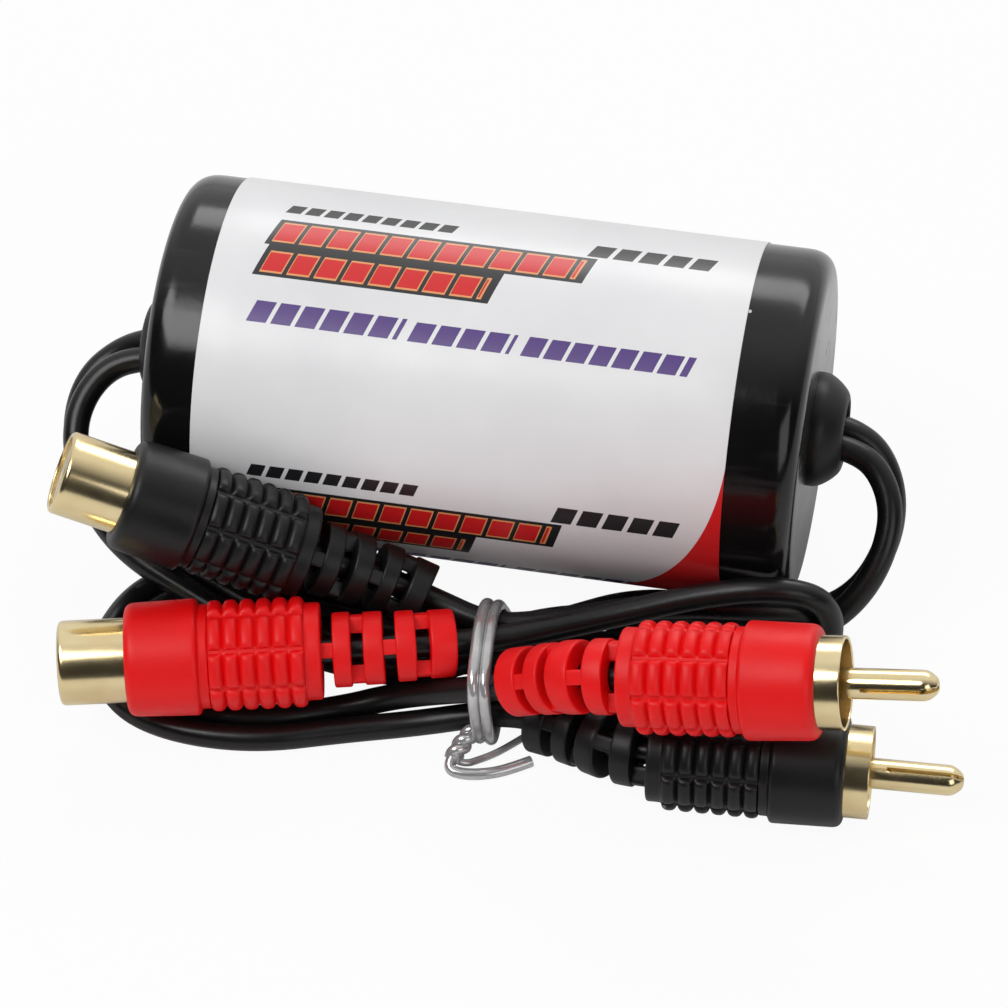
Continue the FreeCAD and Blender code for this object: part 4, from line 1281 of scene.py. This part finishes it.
# Twist tie.
@dataclass
class TwistTie:
    """Plastic covered wire wound twice round the leads, with twisted ends."""

    shelf: FinishShelf
    wire: float = 0.00128
    thin: float = 0.00078
    first: float = 0.0037
    pitch: float = 0.0012
    reach: float = 0.00206
    slope: float = 0.106
    slope_start: float = -0.0098
    knot_turns: float = 1.4
    knot_radius: float = 0.00045
    knot_phase: float = 0.4
    knot_sizes: tuple[float, float] = (1.05, 1.0)
    tail_size: float = 0.96
    steps: int = 8
    belt_points: int = 96
    belt_rounds: int = 14
    thick_end: tuple[tuple[float, float, float], ...] = (
        (0.0024, -0.0391, 0.0008), (0.0042, -0.0394, 0.00062), (0.0066, -0.0389, 0.00062),
        (0.0088, -0.0379, 0.0007), (0.0109, -0.0363, 0.0007),
    )
    thin_end: tuple[tuple[float, float, float], ...] = (
        (0.0040, -0.0384, 0.0010), (0.0056, -0.0369, 0.00055), (0.0075, -0.0353, 0.0005),
        (0.0094, -0.0331, 0.0006),
    )

    def belt(self, along: float) -> list[Vector]:
        """Closed line of one turn round the bundle, lower end to the right.

        Args:
            along: Where the turn's top lies on the X axis.

        Returns:
            Points of the turn.
        """
        points: list[Vector] = []
        count = len(BUNDLE_EDGE)
        normals = []
        for index, (y, z) in enumerate(BUNDLE_EDGE):
            next_y, next_z = BUNDLE_EDGE[(index + 1) % count]
            run = Vector((next_y - y, next_z - z)).normalized()
            normals.append(Vector((run.y, -run.x)))
        middle = Vector((sum(y for y, _ in BUNDLE_EDGE), sum(z for _, z in BUNDLE_EDGE))) / count
        if normals[0].dot(Vector(BUNDLE_EDGE[0]) - middle) < 0:
            normals = [-normal for normal in normals]
        for index, corner in enumerate(BUNDLE_EDGE):
            before, after = normals[index - 1], normals[index]
            turn = before.angle(after)
            steps = max(2, int(math.degrees(turn) / 8))
            for step in range(steps + 1):
                direction = before.lerp(after, step / steps).normalized()
                spot = Vector(corner) + direction * self.reach
                fall = self.slope_start - (spot.x + spot.y) * math.sqrt(0.5)
                points.append(Vector((along + fall * self.slope, spot.x, max(spot.y, self.wire / 2))))
        return self.softened(points)

    def softened(self, points: list[Vector]) -> list[Vector]:
        """Even out a closed line so that it bends like wire.

        Args:
            points: Points of the line.

        Returns:
            Evenly spaced points with softer corners.
        """
        following = points[1:] + points[:1]
        lengths = [(after - point).length for point, after in zip(points, following)]
        total, count = sum(lengths), self.belt_points
        even: list[Vector] = []
        for number in range(count):
            left = total * number / count
            index = 0
            while left > lengths[index]:
                left -= lengths[index]
                index += 1
            even.append(points[index].lerp(following[index], left / max(lengths[index], 1e-9)))
        for _ in range(self.belt_rounds):
            even = [(even[i - 1] + even[i] * 2 + even[(i + 1) % count]) / 4 for i in range(count)]
        return even

    def tube(self, points: Sequence[Vector], diameter: float, closed: bool = False) -> bmesh.types.BMesh:
        """Round tube along a line.

        Args:
            points: Points of the line.
            diameter: Diameter of the tube.
            closed: Join its ends.

        Returns:
            The tube's mesh.
        """
        mesh = curve_mesh(new_tube("tie_line", points, diameter, closed, self.steps))
        result = bmesh.new()
        result.from_mesh(mesh)
        bmesh.ops.remove_doubles(result, verts=result.verts[:], dist=SAME_PLACE)
        bpy.data.meshes.remove(mesh)
        return result

    def twisted(self, start: Vector, end: Vector, turns: float, radius: float, phase: float) -> list[Vector]:
        """Screw line between two points.

        Args:
            start: First point of its axis.
            end: Last point of its axis.
            turns: Number of turns.
            radius: Radius of the screw.
            phase: Starting angle in radians.

        Returns:
            Points of the line.
        """
        axis = (end - start).normalized()
        side = axis.orthogonal().normalized()
        other = axis.cross(side)
        steps = int(turns * 10) + 1
        points = []
        for step in range(steps + 1):
            share = step / steps
            angle = phase + 2 * math.pi * turns * share
            swell = radius * (0.75 + 0.25 * math.sin(share * math.pi))
            turned = side * swell * math.cos(angle) + other * swell * math.sin(angle)
            points.append(start.lerp(end, share) + turned)
        return points

    def build(self) -> bpy.types.Object:
        """Build the whole tie.

        Returns:
            The tie's piece.
        """
        knot_top, knot_end = Vector((0.0044, -0.0346, 0.0025)), Vector((0.0028, -0.038, 0.0014))
        thick = [knot_end] + [Vector(place) for place in self.thick_end]
        thin = [knot_end] + [Vector(place) for place in self.thin_end]
        starts = (self.first, self.first + self.pitch)
        parts = [self.tube(self.belt(start), self.wire, True) for start in starts]
        for phase, size in zip((self.knot_phase, self.knot_phase + math.pi), self.knot_sizes):
            strand = self.twisted(knot_top, knot_end, self.knot_turns, self.knot_radius, phase)
            parts.append(self.tube(strand, self.wire * size))
        parts += [self.tube(thick, self.wire * self.tail_size), self.tube(thin, self.thin)]
        return make_piece("twist_tie_wound", merged(parts), self.shelf.get("tie_sleeve"),
                          ["twist_tie"], 60.0)


# Studio. Each lamp has a name, a place and a size in metres, and a power in watts.
LAMPS: tuple[tuple[str, tuple[float, float, float], tuple[float, float], float], ...] = (
    ("key_lamp", (-0.30, -0.30, 0.62), (0.5, 0.3), 2.7),
    ("fill_lamp", (0.45, -0.5, 0.35), (0.4, 0.4), 0.8),
    ("back_lamp", (0.05, 0.55, 0.5), (0.6, 0.25), 1.9),
)


@dataclass
class Studio:
    """Camera, lamps, pale floor and plain white surroundings."""

    look: Vector
    back: Vector
    distance: float = 0.58
    lens: float = 188.3
    ambient: float = 0.38
    sky_rise: float = 0.6
    sky_lean: float = 0.8
    sky_slope: float = 1.6
    sky_start: float = -0.1
    mirror_range: float = 0.82
    mirror_least: float = 0.025
    floor_glow: float = 0.94

    def camera(self) -> None:
        """Place the camera at the photograph's angle."""
        data = bpy.data.cameras.new("view_camera")
        data.lens = self.lens
        data.sensor_width = 36.0
        data.clip_start = 0.02
        data.clip_end = 20.0
        camera = bpy.data.objects.new("view_camera", data)
        camera.location = self.look + self.back * self.distance
        camera.rotation_mode = "QUATERNION"
        camera.rotation_quaternion = (-self.back).to_track_quat("-Z", "Y")
        bpy.context.scene.collection.objects.link(camera)
        bpy.context.scene.camera = camera

    def lamp(self, name: str, place: tuple[float, float, float], size: tuple[float, float],
             watts: float) -> None:
        """Add one soft lamp that faces the object.

        Args:
            name: Name of the lamp.
            place: Where it stands, in metres.
            size: Its width and height.
            watts: Its power.
        """
        data = bpy.data.lights.new(name, "AREA")
        data.shape = "RECTANGLE"
        data.size, data.size_y = size
        data.energy = watts
        lamp = bpy.data.objects.new(name, data)
        lamp.location = place
        lamp.rotation_mode = "QUATERNION"
        lamp.rotation_quaternion = (self.look - Vector(place)).to_track_quat("-Z", "Y")
        bpy.context.scene.collection.objects.link(lamp)

    def world(self) -> None:
        """White to the camera and in reflections, plain grey light on the object."""
        world = bpy.data.worlds.new("plain_surroundings")
        bpy.context.scene.world = world
        world.use_nodes = True
        bench = NodeBench(world.node_tree)
        shader = world.node_tree.nodes["Background"]
        path = bench.add("ShaderNodeLightPath")
        split = bench.add("ShaderNodeSeparateXYZ")
        bench.join(bench.add("ShaderNodeTexCoord").outputs["Generated"], split.inputs[0])
        rise = bench.calc("MULTIPLY", split.outputs["Z"], self.sky_rise)
        lean = bench.calc("MULTIPLY_ADD", split.outputs["Y"], self.sky_lean, rise)
        height = bench.calc("MULTIPLY_ADD", lean, self.sky_slope, self.sky_start, clamp=True)
        mirrored = bench.calc("MAXIMUM", path.outputs["Is Glossy Ray"], path.outputs["Is Transmission Ray"])
        reflected = bench.calc("MULTIPLY_ADD", height, self.mirror_range, self.mirror_least)
        change = bench.calc("SUBTRACT", reflected, self.ambient)
        ambient = bench.calc("MULTIPLY_ADD", mirrored, change, self.ambient)
        rest = bench.calc("SUBTRACT", 1.0, ambient)
        seen = bench.calc("MULTIPLY_ADD", path.outputs["Is Camera Ray"], rest, ambient)
        shader.inputs["Color"].default_value = (1.0, 1.0, 1.0, 1.0)
        bench.join(seen, shader.inputs["Strength"])

    def floor(self) -> None:
        """Pale floor that keeps a light shadow."""
        mesh = bmesh.new()
        bmesh.ops.create_grid(mesh, x_segments=1, y_segments=1, size=1.5)
        bmesh.ops.translate(mesh, verts=mesh.verts[:], vec=(0, 0, -0.00005))
        data = bpy.data.meshes.new("studio_floor")
        mesh.to_mesh(data)
        mesh.free()
        floor = bpy.data.objects.new("studio_floor", data)
        bpy.context.scene.collection.objects.link(floor)
        material, bench, shader = new_material("floor_pale")
        shader.inputs["Base Color"].default_value = (0.78, 0.78, 0.78, 1.0)
        shader.inputs["Roughness"].default_value = 0.7
        shader.inputs["Specular IOR Level"].default_value = 0.1
        glow = bench.add("ShaderNodeEmission")
        mix = bench.add("ShaderNodeMixShader")
        path = bench.add("ShaderNodeLightPath")
        glowing = bench.calc("MULTIPLY", path.outputs["Is Camera Ray"], self.floor_glow)
        bench.join(glowing, mix.inputs[0])
        bench.join(shader.outputs[0], mix.inputs[1])
        bench.join(glow.outputs[0], mix.inputs[2])
        bench.join(mix.outputs[0], material.node_tree.nodes["Material Output"].inputs["Surface"])
        data.materials.append(material)

    def build(self) -> None:
        """Build lamps, floor and surroundings."""
        for name, place, size, watts in LAMPS:
            self.lamp(name, place, size, watts)
        self.floor()
        self.world()
        bpy.context.scene.view_settings.view_transform = "Standard"


HEADS: tuple[Head, ...] = (
    Head("red_jack", Connector.JACK, (-0.032, -0.0377, 0.0092), (-0.975, -0.218, -0.034), "boot_red"),
    Head("black_jack", Connector.JACK, (-0.0344, -0.0264, 0.0225), (-0.927, -0.093, 0.365), "boot_black"),
    Head("red_plug", Connector.PLUG, (0.04107, -0.0378, 0.0202), (0.9892, 0.0052, 0.1466), "boot_red"),
    Head("black_plug", Connector.PLUG, (0.04416, -0.03662, 0.00631), (0.999, 0.0412, 0.0168), "boot_black"),
)


def dress_inner_nodes(frame: dict, shelf: FinishShelf) -> None:
    """Give each CAD node that stays its finish.

    Args:
        frame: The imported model.
        shelf: The finishes.
    """
    slots = {part["node"]: part["material_slot"] for part in frame["record"]["subparts"]}
    for name, node in frame["nodes"].items():
        if node.hide_render:
            continue
        material = shelf.get(slots[name])
        if node.material_slots:
            for slot in node.material_slots:
                slot.material = material
        else:
            node.data.materials.append(material)
        LOG.info("node %s takes %s", name, material.name)


def main() -> None:
    """Build every piece of the isolator in order."""
    logging.basicConfig(level=logging.INFO)
    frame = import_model()
    studio = Studio(Vector((0.00116, 0.0, 0.00163)), Vector((0.1315, -0.6985, 0.7034)).normalized())
    studio.camera()
    shelf = FinishShelf(Effects())
    leads = Leads(shelf)
    tubes = leads.build()
    Housing(shelf).build()
    tie = TwistTie(shelf).build()
    for head in HEADS:
        lead = tubes[head.name + "_lead"]
        metal = ConnectorMetal(head, shelf)
        socket = metal.barrel_radius if head.kind is Connector.JACK else metal.shell_radius
        parts = [BootHead(head, socket).mesh(), StrainRelief(head, leads.line(lead)).mesh()]
        boot = make_piece(head.name + "_moulded_boot", merged(parts), shelf.get(head.slot),
                          [head.name + "_boot"], 50.0)
        fittings = [boot] + metal.build()
        if head.name == "black_plug":
            fittings.append(tie)
        leads.declare(lead)
    dress_inner_nodes(frame, shelf)
    studio.build()


if __name__ == "__main__":
    main()
